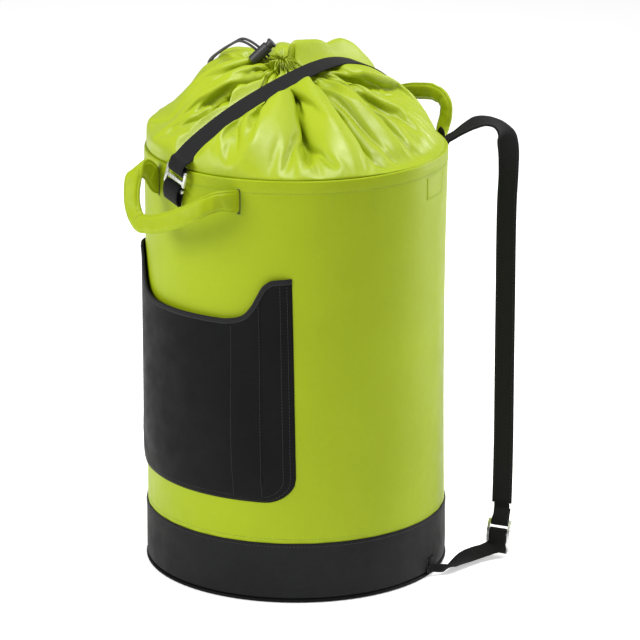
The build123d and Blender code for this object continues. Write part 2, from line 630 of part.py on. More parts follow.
low_web = ribbon(LOWER, LOW_W, LOW_T)
finish(low_web.part, "lower_strap_right")
finish(mirrored(low_web.part), "lower_strap_left")

# anchor patch at the rim: curved webbing patch sewn to the wall, standing a little over the rim
PATCH_PHI = 61.5


def wall_patch(phi, half_deg, z0, z1, r0, r1):
    with BuildPart() as p:
        with BuildSketch(Plane.XY.offset(z0)):
            with BuildLine():
                Polyline(*(arc_pts(r0, phi - half_deg, phi + half_deg, 8) + arc_pts(r1, phi + half_deg, phi - half_deg, 8)), close=True)
            make_face()
        extrude(amount=z1 - z0)
    return p


patch = wall_patch(PATCH_PHI, 4.2, 462.0, 505.0, R_OUT + 0.5, R_OUT + 3.0)
finish(patch.part, "strap_patch_right")
finish(mirrored(patch.part), "strap_patch_left")

# base tab: webbing tab sewn into the foot seam, its end standing out along the lower webbing
TAB_PHI = 18.0
base_tab = wall_patch(TAB_PHI, 4.0, 5.2, 22.0, R_OUT + 1.2, R_OUT + 3.4)
finish(base_tab.part, "base_tab_right")
finish(mirrored(base_tab.part), "base_tab_left")
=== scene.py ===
import math
import bpy
import numpy as np
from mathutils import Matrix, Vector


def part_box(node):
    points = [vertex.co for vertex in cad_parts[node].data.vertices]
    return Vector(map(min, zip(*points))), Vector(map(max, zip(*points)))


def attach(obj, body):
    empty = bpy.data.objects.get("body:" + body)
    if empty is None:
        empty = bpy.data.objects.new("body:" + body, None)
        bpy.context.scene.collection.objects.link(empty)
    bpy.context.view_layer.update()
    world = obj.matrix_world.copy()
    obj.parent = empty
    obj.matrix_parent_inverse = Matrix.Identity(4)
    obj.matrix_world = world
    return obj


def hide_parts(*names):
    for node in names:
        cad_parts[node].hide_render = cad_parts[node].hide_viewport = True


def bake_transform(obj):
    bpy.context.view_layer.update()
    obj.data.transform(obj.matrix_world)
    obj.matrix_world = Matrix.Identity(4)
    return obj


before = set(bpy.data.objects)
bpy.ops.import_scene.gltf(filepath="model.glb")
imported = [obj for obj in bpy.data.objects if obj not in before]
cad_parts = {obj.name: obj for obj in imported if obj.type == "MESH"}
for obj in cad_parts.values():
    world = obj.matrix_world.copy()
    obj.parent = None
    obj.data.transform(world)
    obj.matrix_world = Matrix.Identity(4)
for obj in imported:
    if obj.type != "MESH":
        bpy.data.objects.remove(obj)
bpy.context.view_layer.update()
scene = bpy.context.scene
rng = np.random.RandomState(7)
MM = 0.001
D2R = math.pi / 180.0


# ================================================================ camera, light, floor
def vec(*a):
    return np.array(a, float)


def unit(v):
    v = np.asarray(v, float)
    return v / np.linalg.norm(v)


AZ, EL, DIST, AIM = 45.0, 16.54, 4.6, vec(0, 0, 0.3)
back = vec(math.sin(AZ * D2R) * math.cos(EL * D2R), -math.cos(AZ * D2R) * math.cos(EL * D2R), math.sin(EL * D2R))
cam_data = bpy.data.cameras.new("camera")
cam = bpy.data.objects.new("camera", cam_data)
scene.collection.objects.link(cam)
cam_data.sensor_width = 36.0
cam_data.lens = 3942.6 * 36.0 / 640.0
cam_data.shift_x = 0.0373
cam_data.shift_y = -0.0184
cam_data.clip_end = 60.0
from mathutils import Vector, Matrix

loc = AIM + back * DIST
cam.location = loc
cam.rotation_euler = Vector(tuple(-back)).to_track_quat("-Z", "Y").to_euler()
scene.camera = cam
scene.view_settings.view_transform = "Standard"
scene.view_settings.look = "None"

world = bpy.data.worlds.new("studio")
scene.world = world
world.use_nodes = True
wn = world.node_tree
wn.nodes.clear()
w_out = wn.nodes.new("ShaderNodeOutputWorld")
w_mix = wn.nodes.new("ShaderNodeMixShader")
w_lp = wn.nodes.new("ShaderNodeLightPath")
w_a = wn.nodes.new("ShaderNodeBackground")
w_b = wn.nodes.new("ShaderNodeBackground")
w_a.inputs["Color"].default_value = (1.0, 1.0, 1.0, 1)
w_a.inputs["Strength"].default_value = 0.40
w_b.inputs["Color"].default_value = (1, 1, 1, 1)
w_b.inputs["Strength"].default_value = 1.0
wn.links.new(w_lp.outputs["Is Camera Ray"], w_mix.inputs[0])
wn.links.new(w_a.outputs[0], w_mix.inputs[1])
wn.links.new(w_b.outputs[0], w_mix.inputs[2])
wn.links.new(w_mix.outputs[0], w_out.inputs["Surface"])

cam_right = vec(math.cos(AZ * D2R), math.sin(AZ * D2R), 0)
cam_front = vec(math.sin(AZ * D2R), -math.cos(AZ * D2R), 0)


def area_light(name, right, front, up, size, energy, aim=(0, 0, 0.3), size_y=None):
    d = bpy.data.lights.new(name, "AREA")
    d.shape = "RECTANGLE"
    d.size = size
    d.size_y = size_y or size
    d.energy = energy
    o = bpy.data.objects.new(name, d)
    p = cam_right * right + cam_front * front + vec(0, 0, up)
    o.location = p
    o.rotation_euler = Vector(tuple(p - np.asarray(aim))).to_track_quat("Z", "Y").to_euler()
    scene.collection.objects.link(o)
    return o


area_light("key_left", -2.1, 1.15, 1.5, 1.3, 48)
area_light("rim_right", 1.75, -0.95, 0.9, 0.6, 31, size_y=1.7)
area_light("top_soft", 0.3, 0.1, 2.3, 0.6, 33)


# ================================================================ materials
def new_mat(name):
    m = bpy.data.materials.new(name)
    m.use_nodes = True
    nt = m.node_tree
    nt.nodes.clear()
    out = nt.nodes.new("ShaderNodeOutputMaterial")
    b = nt.nodes.new("ShaderNodeBsdfPrincipled")
    nt.links.new(b.outputs[0], out.inputs["Surface"])
    return m, nt, b


def nd(nt, kind, **kw):
    n = nt.nodes.new(kind)
    for k, v in kw.items():
        if k.startswith("i_"):
            n.inputs[k[2:]].default_value = v
        else:
            setattr(n, k, v)
    return n


def math_node(nt, op, a, b=None, c=None):
    n = nt.nodes.new("ShaderNodeMath")
    n.operation = op
    for i, x in enumerate((a, b, c)):
        if x is None:
            continue
        if isinstance(x, (int, float)):
            n.inputs[i].default_value = x
        else:
            nt.links.new(x, n.inputs[i])
    return n.outputs[0]


def noise_node(nt, coord, scale, detail=3.0, rough=0.55, out="Fac"):
    n = nt.nodes.new("ShaderNodeTexNoise")
    n.inputs["Scale"].default_value = scale
    n.inputs["Detail"].default_value = detail
    n.inputs["Roughness"].default_value = rough
    nt.links.new(coord, n.inputs["Vector"])
    return n.outputs[out]


def ramp(nt, fac, stops):
    n = nt.nodes.new("ShaderNodeValToRGB")
    e = n.color_ramp.elements
    e[0].position, e[0].color = stops[0][0], (*stops[0][1], 1)
    e[1].position, e[1].color = stops[-1][0], (*stops[-1][1], 1)
    for p, c in stops[1:-1]:
        k = e.new(p)
        k.color = (*c, 1)
    nt.links.new(fac, n.inputs["Fac"])
    return n.outputs["Color"]


def bump(nt, height, strength, distance, normal=None):
    n = nt.nodes.new("ShaderNodeBump")
    n.inputs["Strength"].default_value = strength
    n.inputs["Distance"].default_value = distance
    nt.links.new(height, n.inputs["Height"])
    if normal is not None:
        nt.links.new(normal, n.inputs["Normal"])
    return n.outputs["Normal"]


def map_range(nt, val, a, b, c, d):
    n = nt.nodes.new("ShaderNodeMapRange")
    n.inputs["From Min"].default_value = a
    n.inputs["From Max"].default_value = b
    n.inputs["To Min"].default_value = c
    n.inputs["To Max"].default_value = d
    nt.links.new(val, n.inputs["Value"])
    return n.outputs["Result"]


def coords(nt):
    tc = nt.nodes.new("ShaderNodeTexCoord")
    return tc.outputs["Object"], tc.outputs["UV"]


def weave_height(nt, uv, pitch_mm):
    """plain weave: rows of threads over and under; the UV unit is 10 mm"""
    sep = nt.nodes.new("ShaderNodeSeparateXYZ")
    nt.links.new(uv, sep.inputs[0])
    k = 10.0 / pitch_mm * math.pi
    a = math_node(nt, "SINE", math_node(nt, "MULTIPLY", sep.outputs["X"], k))
    b = math_node(nt, "SINE", math_node(nt, "MULTIPLY", sep.outputs["Y"], k))
    return math_node(nt, "MULTIPLY", a, b)


def tarp(name, dark, mid, light, rough, weave_mm=1.1, weave_s=0.25, wr=(0.35, 0.25), coat=0.12, spec=0.5):
    m, nt, b = new_mat(name)
    ob, uv = coords(nt)
    big = noise_node(nt, ob, 9.0, 3, 0.5)
    fine = noise_node(nt, ob, 160.0, 4, 0.6)
    mix = math_node(nt, "ADD", math_node(nt, "MULTIPLY", big, 0.75), math_node(nt, "MULTIPLY", fine, 0.25))
    nt.links.new(ramp(nt, mix, [(0.30, dark), (0.5, mid), (0.70, light)]), b.inputs["Base Color"])
    r = map_range(nt, noise_node(nt, ob, 45.0, 4, 0.6), 0.3, 0.7, rough - 0.06, rough + 0.08)
    nt.links.new(r, b.inputs["Roughness"])
    wv = weave_height(nt, uv, weave_mm)
    n1 = bump(nt, noise_node(nt, ob, 22.0, 4, 0.55), wr[0], 0.0022)
    n2 = bump(nt, noise_node(nt, ob, 95.0, 4, 0.6), wr[1], 0.0005, n1)
    n3 = bump(nt, wv, weave_s, 0.00006, n2)
    nt.links.new(n3, b.inputs["Normal"])
    b.inputs["Specular IOR Level"].default_value = spec
    b.inputs["Coat Weight"].default_value = coat
    b.inputs["Coat Roughness"].default_value = 0.38
    return m


LIME = tarp("lime_coated_fabric", (0.265, 0.340, 0.0036), (0.285, 0.364, 0.0046), (0.304, 0.388, 0.0062), 0.47, coat=0.02, spec=0.16)
LIME_SOFT = tarp("lime_collar_fabric", (0.284, 0.367, 0.0042), (0.310, 0.394, 0.0056), (0.337, 0.424, 0.0080), 0.44, 1.0, 0.22, (0.5, 0.35), coat=0.08, spec=0.32)
BLACK = tarp("black_coated_fabric", (0.0038, 0.0039, 0.0040), (0.0049, 0.0050, 0.0051), (0.0062, 0.0063, 0.0065), 0.54, 1.3, 0.5, (0.3, 0.3), 0.0, 0.07)
BASE_BLACK = tarp("base_band_fabric", (0.0082, 0.0083, 0.0085), (0.0102, 0.0103, 0.0106), (0.0128, 0.013, 0.0133), 0.56, 1.5, 0.6, (0.2, 0.3), 0.0, 0.09)


def webbing_mat(name, a, c, rough=0.78, rib=1.5):
    """woven tape: chevron rows; the UV unit is 10 mm, u across"""
    m, nt, b = new_mat(name)
    ob, uv = coords(nt)
    sep = nt.nodes.new("ShaderNodeSeparateXYZ")
    nt.links.new(uv, sep.inputs[0])
    fr = math_node(nt, "FRACT", math_node(nt, "MULTIPLY", sep.outputs["X"], 10.0 / 3.1))
    tri = math_node(nt, "ABSOLUTE", math_node(nt, "SUBTRACT", fr, 0.5))
    ph = math_node(nt, "ADD", math_node(nt, "MULTIPLY", sep.outputs["Y"], 10.0 / rib), math_node(nt, "MULTIPLY", tri, 2.0))
    rows = math_node(nt, "SINE", math_node(nt, "MULTIPLY", ph, 2 * math.pi))
    cols = math_node(nt, "ABSOLUTE", math_node(nt, "SUBTRACT", tri, 0.25))
    h = math_node(nt, "ADD", math_node(nt, "MULTIPLY", rows, 0.5), math_node(nt, "MULTIPLY", cols, -1.6))
    fuzz = noise_node(nt, ob, 420.0, 4, 0.7)
    mixf = math_node(nt, "ADD", math_node(nt, "MULTIPLY", math_node(nt, "ADD", rows, 1.0), 0.28), math_node(nt, "MULTIPLY", fuzz, 0.45))
    nt.links.new(ramp(nt, mixf, [(0.15, a), (0.85, c)]), b.inputs["Base Color"])
    b.inputs["Roughness"].default_value = rough
    n1 = bump(nt, h, 0.55, 0.00016)
    n2 = bump(nt, fuzz, 0.3, 0.0001, n1)
    nt.links.new(n2, b.inputs["Normal"])
    b.inputs["Sheen Weight"].default_value = 0.03
    b.inputs["Sheen Roughness"].default_value = 0.5
    b.inputs["Specular IOR Level"].default_value = 0.15
    return m


WEB = webbing_mat("black_webbing", (0.0032, 0.0032, 0.0034), (0.0085, 0.0085, 0.0088))
WEB_STRAP = webbing_mat("closing_strap_webbing", (0.0042, 0.0042, 0.0044), (0.0115, 0.0115, 0.012))
TAPE = webbing_mat("binding_tape", (0.008, 0.008, 0.0085), (0.018, 0.018, 0.019), 0.8, 0.9)


def thread_mat(name, a, c):
    m, nt, b = new_mat(name)
    ob, uv = coords(nt)
    f = noise_node(nt, ob, 900.0, 3, 0.6)
    nt.links.new(ramp(nt, f, [(0.3, a), (0.7, c)]), b.inputs["Base Color"])
    b.inputs["Roughness"].default_value = 0.6
    nt.links.new(bump(nt, f, 0.5, 0.0001), b.inputs["Normal"])
    return m


THREAD_LIME = thread_mat("lime_thread", (0.24, 0.34, 0.02), (0.33, 0.44, 0.04))
THREAD_BLACK = thread_mat("black_thread", (0.011, 0.011, 0.012), (0.028, 0.028, 0.03))


def cord_mat(name, a, c):
    m, nt, b = new_mat(name)
    ob, uv = coords(nt)
    sep = nt.nodes.new("ShaderNodeSeparateXYZ")
    nt.links.new(uv, sep.inputs[0])
    p = math_node(nt, "SINE", math_node(nt, "MULTIPLY", math_node(nt, "ADD", math_node(nt, "MULTIPLY", sep.outputs["X"], 8.0), math_node(nt, "MULTIPLY", sep.outputs["Y"], 5.0)), 2 * math.pi))
    q = math_node(nt, "SINE", math_node(nt, "MULTIPLY", math_node(nt, "SUBTRACT", math_node(nt, "MULTIPLY", sep.outputs["X"], 8.0), math_node(nt, "MULTIPLY", sep.outputs["Y"], 5.0)), 2 * math.pi))
    h = math_node(nt, "MULTIPLY", p, q)
    nt.links.new(ramp(nt, math_node(nt, "MULTIPLY_ADD", h, 0.5, 0.5), [(0.0, a), (1.0, c)]), b.inputs["Base Color"])
    b.inputs["Roughness"].default_value = 0.7
    b.inputs["Sheen Weight"].default_value = 0.15
    nt.links.new(bump(nt, h, 0.8, 0.0002), b.inputs["Normal"])
    return m


CORD = cord_mat("braided_cord", (0.012, 0.012, 0.013), (0.04, 0.04, 0.043))


def metal_mat(name, base, rough):
    m, nt, b = new_mat(name)
    ob, uv = coords(nt)
    st = nt.nodes.new("ShaderNodeMapping")
    st.inputs["Scale"].default_value = (900.0, 900.0, 60.0)
    nt.links.new(ob, st.inputs["Vector"])
    s = nt.nodes.new("ShaderNodeTexNoise")
    s.inputs["Scale"].default_value = 1.0
    s.inputs["Detail"].default_value = 4.0
    nt.links.new(st.outputs[0], s.inputs["Vector"])
    n = noise_node(nt, ob, 260.0, 3, 0.6)
    nt.links.new(ramp(nt, n, [(0.3, tuple(x * 0.86 for x in base)), (0.7, base)]), b.inputs["Base Color"])
    b.inputs["Metallic"].default_value = 1.0
    nt.links.new(map_range(nt, s.outputs["Fac"], 0.3, 0.7, rough - 0.07, rough + 0.1), b.inputs["Roughness"])
    nt.links.new(bump(nt, s.outputs["Fac"], 0.25, 0.00005), b.inputs["Normal"])
    return m


STEEL = metal_mat("plated_steel", (0.80, 0.805, 0.81), 0.28)
SPRING = metal_mat("spring_wire", (0.55, 0.55, 0.56), 0.3)


def plastic_mat(name, base, rough):
    m, nt, b = new_mat(name)
    ob, uv = coords(nt)
    n = noise_node(nt, ob, 1100.0, 3, 0.6)
    n2 = noise_node(nt, ob, 120.0, 3, 0.5)
    nt.links.new(ramp(nt, n2, [(0.3, tuple(x * 0.85 for x in base)), (0.7, tuple(x * 1.2 for x in base))]), b.inputs["Base Color"])
    nt.links.new(map_range(nt, n, 0.3, 0.7, rough - 0.05, rough + 0.1), b.inputs["Roughness"])
    nt.links.new(bump(nt, n, 0.3, 0.00006), b.inputs["Normal"])
    return m


PLASTIC = plastic_mat("moulded_plastic", (0.02, 0.0205, 0.022), 0.42)
STIFF = plastic_mat("stiffener_sheet", (0.045, 0.048, 0.052), 0.5)
FOAM = plastic_mat("foam_core", (0.05, 0.05, 0.052), 0.9)
LINING = tarp("thin_lining", (0.026, 0.027, 0.03), (0.033, 0.034, 0.037), (0.04, 0.041, 0.045), 0.6, 0.8, 0.4, (0.5, 0.4), 0.0, 0.4)


# ================================================================ mesh helpers (millimetres in, metres out)
def make(name, verts, faces, mats, uvs=None, fmat=None, smooth=True):
    me = bpy.data.meshes.new(name)
    me.from_pydata((np.asarray(verts, float) * MM).tolist(), [], faces)
    if not isinstance(mats, (list, tuple)):
        mats = [mats]
    for m in mats:
        me.materials.append(m)
    if uvs is not None:
        lay = me.uv_layers.new(name="Weave")
        lay.data.foreach_set("uv", np.asarray(uvs, np.float32).ravel())
    if fmat is not None:
        me.polygons.foreach_set("material_index", np.asarray(fmat, np.int32))
    me.polygons.foreach_set("use_smooth", [smooth] * len(me.polygons))
    me.update()
    ob = bpy.data.objects.new(name, me)
    scene.collection.objects.link(ob)
    return ob


def grid_data(P, U, V, closed_u=False, closed_v=False, flip=False, base=0):
    """P is (nv, nu, 3); U (nu or nu+1) and V (nv or nv+1) in mm"""
    nv, nu = P.shape[:2]
    faces, uvs = [], []
    for j in range(nv if closed_v else nv - 1):
        j2 = (j + 1) % nv
        for i in range(nu if closed_u else nu - 1):
            i2 = (i + 1) % nu
            q = [j * nu + i, j * nu + i2, j2 * nu + i2, j2 * nu + i]
            uu = [(U[i], V[j]), (U[i + 1], V[j]), (U[i + 1], V[j + 1]), (U[i], V[j + 1])]
            if flip:
                q, uu = q[::-1], uu[::-1]
            faces.append([k + base for k in q])
            uvs += [(a * 0.1, b * 0.1) for a, b in uu]
    return P.reshape(-1, 3), faces, uvs


def grid(name, P, U, V, mats, closed_u=False, closed_v=False, flip=False, **kw):
    P = np.asarray(P, float)
    v, f, uv = grid_data(P, U, V, closed_u, closed_v, flip)
    return make(name, v, f, mats, uv, **kw)


def evaluated(ob):
    dg = bpy.context.evaluated_depsgraph_get()
    dg.update()
    me = bpy.data.meshes.new_from_object(ob.evaluated_get(dg), preserve_all_data_layers=True, depsgraph=dg)
    ob.modifiers.clear()
    old = ob.data
    ob.data = me
    me.name = ob.name
    bpy.data.meshes.remove(old)
    return ob


def solidify(ob, t_mm, offset=-1.0, sub=0, even=False):
    m = ob.modifiers.new("thick", "SOLIDIFY")
    m.thickness = t_mm * MM
    m.offset = offset
    m.use_rim = True
    m.use_even_offset = even
    if sub:
        s = ob.modifiers.new("sub", "SUBSURF")
        s.levels = sub
        s.render_levels = sub
    return evaluated(ob)


def spline(P, n, even=True):
    """smooth curve through rows of P (first three columns are the position)"""
    P = np.asarray(P, float)
    d = np.r_[0, np.cumsum(np.maximum(np.linalg.norm(np.diff(P[:, :3], axis=0), axis=1), 1e-6))]
    m = np.zeros_like(P)
    for i in range(len(P)):
        if i == 0:
            m[i] = (P[1] - P[0]) / (d[1] - d[0])
        elif i == len(P) - 1:
            m[i] = (P[-1] - P[-2]) / (d[-1] - d[-2])
        else:
            a, b = d[i] - d[i - 1], d[i + 1] - d[i]
            m[i] = ((P[i] - P[i - 1]) / a * b + (P[i + 1] - P[i]) / b * a) / (a + b)

    def at(s):
        k = np.clip(np.searchsorted(d, s, side="right") - 1, 0, len(P) - 2)
        h = (d[k + 1] - d[k])[:, None]
        t = ((s - d[k]) / h[:, 0])[:, None]
        return (2 * t**3 - 3 * t**2 + 1) * P[k] + (t**3 - 2 * t**2 + t) * h * m[k] + (-2 * t**3 + 3 * t**2) * P[k + 1] + (t**3 - t**2) * h * m[k + 1]

    if not even:
        return at(np.linspace(0, d[-1], n))
    s = np.linspace(0, d[-1], max(400, n * 6))
    Q = at(s)
    L = np.r_[0, np.cumsum(np.linalg.norm(np.diff(Q[:, :3], axis=0), axis=1))]
    return at(np.interp(np.linspace(0, L[-1], n), L, s))


def interp1(x, xs, ys):
    """smooth one-dimensional interpolation"""
    xs, ys = np.asarray(xs, float), np.asarray(ys, float)
    m = np.zeros_like(ys)
    dx = np.diff(xs)
    sl = np.diff(ys) / dx
    m[0], m[-1] = sl[0], sl[-1]
    for i in range(1, len(xs) - 1):
        m[i] = 0.0 if sl[i - 1] * sl[i] <= 0 else 2 * sl[i - 1] * sl[i] / (sl[i - 1] + sl[i])
    x = np.clip(np.asarray(x, float), xs[0], xs[-1])
    k = np.clip(np.searchsorted(xs, x, side="right") - 1, 0, len(xs) - 2)
    h = dx[k]
    t = (x - xs[k]) / h
    return (2 * t**3 - 3 * t**2 + 1) * ys[k] + (t**3 - 2 * t**2 + t) * h * m[k] + (-2 * t**3 + 3 * t**2) * ys[k + 1] + (t**3 - t**2) * h * m[k + 1]


def periodic(phi, table):
    """smooth periodic interpolation of {degrees: value}"""
    ks = sorted(table)
    xs = np.array([k - 360 for k in ks] + ks + [k + 360 for k in ks], float)
    ys = np.array([table[k] for k in ks] * 3, float)
    m = np.zeros_like(ys)
    for i in range(1, len(xs) - 1):
        m[i] = (ys[i + 1] - ys[i - 1]) / (xs[i + 1] - xs[i - 1])
    p = np.mod(np.asarray(phi, float) + 180, 360) - 180
    k = np.clip(np.searchsorted(xs, p, side="right") - 1, 0, len(xs) - 2)
    h = xs[k + 1] - xs[k]
    t = (p - xs[k]) / h
    return (2 * t**3 - 3 * t**2 + 1) * ys[k] + (t**3 - 2 * t**2 + t) * h * m[k] + (-2 * t**3 + 3 * t**2) * ys[k + 1] + (t**3 - t**2) * h * m[k + 1]


def frames_of(S):
    c = S[:, :3]
    t = np.gradient(c, axis=0)
    t /= np.linalg.norm(t, axis=1)[:, None]
    w = S[:, 3:6]
    w = w - t * np.sum(w * t, axis=1)[:, None]
    w /= np.linalg.norm(w, axis=1)[:, None]
    return c, t, w, np.cross(t, w)


def tape_section(nw=9, edge=0.04):
    a = list(np.linspace(-1 + edge, 1 - edge, nw))
    sec = [(x, 1.0) for x in a] + [(1 - edge * 0.3, 0.65), (1.0, 0.0), (1 - edge * 0.3, -0.65)]
    sec += [(x, -1.0) for x in a[::-1]] + [(-1 + edge * 0.3, -0.65), (-1.0, 0.0), (-1 + edge * 0.3, 0.65)]
    return np.array(sec)


def band(name, stations, n, mat, section=None, twist=None, wav=0.0):
    """stations: (x, y, z, wx, wy, wz, width, thickness)"""
    S = spline(np.array(stations, float), n)
    c, t, w, nn = frames_of(S)
    sec = tape_section() if section is None else section
    L = np.r_[0, np.cumsum(np.linalg.norm(np.diff(c, axis=0), axis=1))]
    m = len(sec)
    P = np.zeros((n, m, 3))
    for i in range(n):
        P[i] = c[i] + np.outer(sec[:, 0] * S[i, 6] / 2, w[i]) + np.outer(sec[:, 1] * S[i, 7] / 2, nn[i])
    wid = S[:, 6].mean()
    u = np.r_[sec[:, 0], sec[0, 0]] * wid / 2
    v, f, uv = grid_data(P, u, L, closed_u=True)
    f = list(f)
    first = list(range(m))
    last = [(n - 1) * m + k for k in range(m)]
    f.append(first[::1])
    uv += [(sec[k, 0] * wid / 20, sec[k, 1] * 0.1) for k in first]
    f.append(last[::-1])
    uv += [(sec[k, 0] * wid / 20, sec[k, 1] * 0.1) for k in range(m)][::-1]
    ob = make(name, v, f, mat, uv)
    fix_normals(ob)
    return ob, (c, t, w, nn, L, S)


def fix_normals(ob):
    import bmesh
    bm = bmesh.new()
    bm.from_mesh(ob.data)
    bmesh.ops.recalc_face_normals(bm, faces=bm.faces)
    bm.to_mesh(ob.data)
    bm.free()


def stitches(name, P, N, mat, pitch=4.2, length=3.0, dia=0.62, sink=0.1):
    """a row of thread stitches along the points P with surface normals N (mm)"""
    P, N = np.asarray(P, float), np.asarray(N, float)
    L = np.r_[0, np.cumsum(np.linalg.norm(np.diff(P, axis=0), axis=1))]
    k = max(2, int(L[-1] / pitch))
    verts, faces = [], []
    for i in range(k):
        s0 = (i + 0.5) * L[-1] / k
        ring = []
        c = np.array([np.interp(s0, L, P[:, j]) for j in range(3)])
        a = np.array([np.interp(s0 - length / 2, L, P[:, j]) for j in range(3)])
        b = np.array([np.interp(s0 + length / 2, L, P[:, j]) for j in range(3)])
        t = b - a
        if np.linalg.norm(t) < 1e-6:
            continue
        t = unit(t)
        n = np.array([np.interp(s0, L, N[:, j]) for j in range(3)])
        n = unit(n - t * n.dot(t))
        w = np.cross(t, n)
        base = len(verts)
        for q, rr, hh in ((-1.0, 0.25, -0.25), (-0.6, 0.9, 0.28), (0.0, 1.0, 0.42), (0.6, 0.9, 0.28), (1.0, 0.25, -0.25)):
            o = c + t * (q * length / 2) + n * (hh * dia - sink)
            for g in range(6):
                an = g * math.pi / 3
                verts.append(o + (w * math.cos(an) + n * math.sin(an) * 0.8) * rr * dia / 2)
        for r_ in range(4):
            for g in range(6):
                g2 = (g + 1) % 6
                faces.append([base + r_ * 6 + g, base + r_ * 6 + g2, base + (r_ + 1) * 6 + g2, base + (r_ + 1) * 6 + g])
        faces.append([base + g for g in range(6)][::-1])
        faces.append([base + 24 + g for g in range(6)])
    return make(name, verts, faces, mat)


def ride(ob, body):
    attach(ob, body)
    return ob




def cyl(phi, r, z):
    return vec(r * math.cos(phi * D2R), r * math.sin(phi * D2R), z)


# ================================================================ bag wall
R_OUT, RIM_Z, SEAM_Z = 175.0, 498.0, 72.0
FRONT_PHI, REAR_PHI, SLIT_A = -87.25, 90.0, 62.0
SLIT_LO, SLIT_HI = 459.0, 486.0
SLIT_PHIS = [p + s * math.degrees(math.asin(SLIT_A / R_OUT)) for p in (FRONT_PHI, REAR_PHI) for s in (-1, 1)]


def wall_r(phi, z):
    """radius of the wall's outer face"""
    phi = np.asarray(phi, float)
    z = np.asarray(z, float)
    h = np.clip((z - SEAM_Z) / (RIM_Z - SEAM_Z), 0, 1)
    mid = np.sin(np.pi * h) ** 1.2
    d = np.mod(phi - 45 + 180, 360) - 180
    e = np.mod(phi - 225 + 180, 360) - 180
    r = R_OUT - 2.4 * mid * np.exp(-((d / 50) ** 2)) - 0.6 * mid * np.exp(-((e / 40) ** 2))
    r = r + 0.35 * mid * np.sin(3 * phi * D2R + 0.7) + 0.28 * mid * np.sin(7 * phi * D2R + 2 * h * 3)
    # soft ripples run down from the rim
    top = np.exp(-((RIM_Z - z) / 90.0))
    r = r + top * (0.35 * np.sin(11 * phi * D2R + 1.0) + 0.25 * np.sin(17 * phi * D2R + 0.3))
    # puckers near the foot seam
    foot = np.exp(-(np.clip(z - SEAM_Z, 0, None) / 12.0))
    r = r + foot * 0.22 * np.sin(46 * phi * D2R) + foot * 0.18 * np.sin(29 * phi * D2R + 1.4)
    return r


def wall_at(phi, z, lift=0.0):
    r = wall_r(phi, z) + lift
    return np.stack([r * np.cos(phi * D2R), r * np.sin(phi * D2R), np.broadcast_to(z, np.shape(r))], -1)


# columns: half degree steps, with exact columns along both sides of every slit
cols = set(np.round(np.arange(-180, 180, 1.0), 4))
SLIT_HALF = 0.48
for p in SLIT_PHIS:
    p = (p + 180) % 360 - 180
    cols = {c for c in cols if abs(c - p) > 1.3}
    cols |= {round(p + k, 4) for k in (-1.2, -0.8, -SLIT_HALF, 0.0, SLIT_HALF, 0.8, 1.2)}
cols = np.array(sorted(cols))
zs_out = np.r_[66.0, 70.0, 72.5, 75, 79, 84, 90, np.arange(100, 440, 12.0), 446, 452, 456, SLIT_LO, 461.0, 465, 469, 473, 477, 481, 484.0, SLIT_HI, 489, 492, 495.0]
prof = [(None, z) for z in zs_out] + [(0.1, 496.8), (-0.35, 497.75), (-1.0, 498.0), (-2.6, 498.2), (-4.6, 498.15), (-5.9, 497.7), (-6.6, 496.4), (-6.8, 494.0), (-6.9, 488.0), (-6.7, 484.3), (-6.0, 483.6), (-2.4, 483.2), (-1.6, 482.4), (-1.6, 470.0), (-1.6, 455.0), (-1.6, 440.0)]
P = np.zeros((len(prof), len(cols), 3))
Vv = [0.0]
for j, (off, z) in enumerate(prof):
    rimwave = 0.5 * np.sin(2 * cols * D2R + 0.6) + 0.3 * np.sin(5 * cols * D2R)
    zz = z + rimwave * np.clip((z - 440) / 58.0, 0, 1) ** 2 * 0.6
    hem = 0.35 * np.exp(-(((z - 490.0) / 5.0) ** 2)) - 0.5 * np.exp(-(((z - 483.2) / 1.2) ** 2)) if off is None else 0.0
    r = wall_r(cols, min(z, 497.0)) + (hem if off is None else off)
    P[j] = np.stack([r * np.cos(cols * D2R), r * np.sin(cols * D2R), zz], -1)
    if j:
        Vv.append(Vv[-1] + float(np.linalg.norm(P[j, 0] - P[j - 1, 0])))
U = np.r_[cols, cols[0] + 360] * D2R * R_OUT
verts, faces, uvs = grid_data(P, U, Vv, closed_u=True)
nu = len(cols)
keep = []
for k, f in enumerate(faces):
    j, i = divmod(k, nu)
    pm = (cols[i] + (cols[(i + 1) % nu] if i + 1 < nu else cols[0] + 360)) / 2
    hole = False
    if j + 1 < len(prof):
        z0, z1 = prof[j][1], prof[j + 1][1]
        if prof[j][0] is None and prof[j + 1][0] is None and min(z0, z1) >= SLIT_LO - 0.1 and max(z0, z1) <= SLIT_HI + 0.1:
            for p in SLIT_PHIS:
                d = (pm - p + 180) % 360 - 180
                if abs(d) < SLIT_HALF:
                    hole = True
    keep.append(not hole)
faces2 = [f for f, k in zip(faces, keep) if k]
uv_arr = np.array(uvs).reshape(-1, 4, 2)[np.array(keep)].reshape(-1, 2)
wall = make("bag_wall", verts, faces2, LIME, uv_arr)
m = wall.modifiers.new("sub", "SUBSURF")
m.levels = m.render_levels = 1
evaluated(wall)
ride(wall, "bag")
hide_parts("wall_shell", "rim_hem")


def wall_line(phis, zs, n, lift=0.15):
    """points and outward normals along a line on the wall"""
    Q = spline(np.array([[p, z, 0] for p, z in zip(phis, zs)], float), n, even=False)
    p, z = Q[:, 0], Q[:, 1]
    pts = wall_at(p, z, lift)
    nor = np.stack([np.cos(p * D2R), np.sin(p * D2R), 0 * p], -1)
    return pts, nor


def wall_stitch(name, phis, zs, n=160, mat=None, **kw):
    pts, nor = wall_line(phis, zs, n)
    ob = stitches(name, pts, nor, mat or THREAD_LIME, **kw)
    ride(ob, "bag")
    return ob


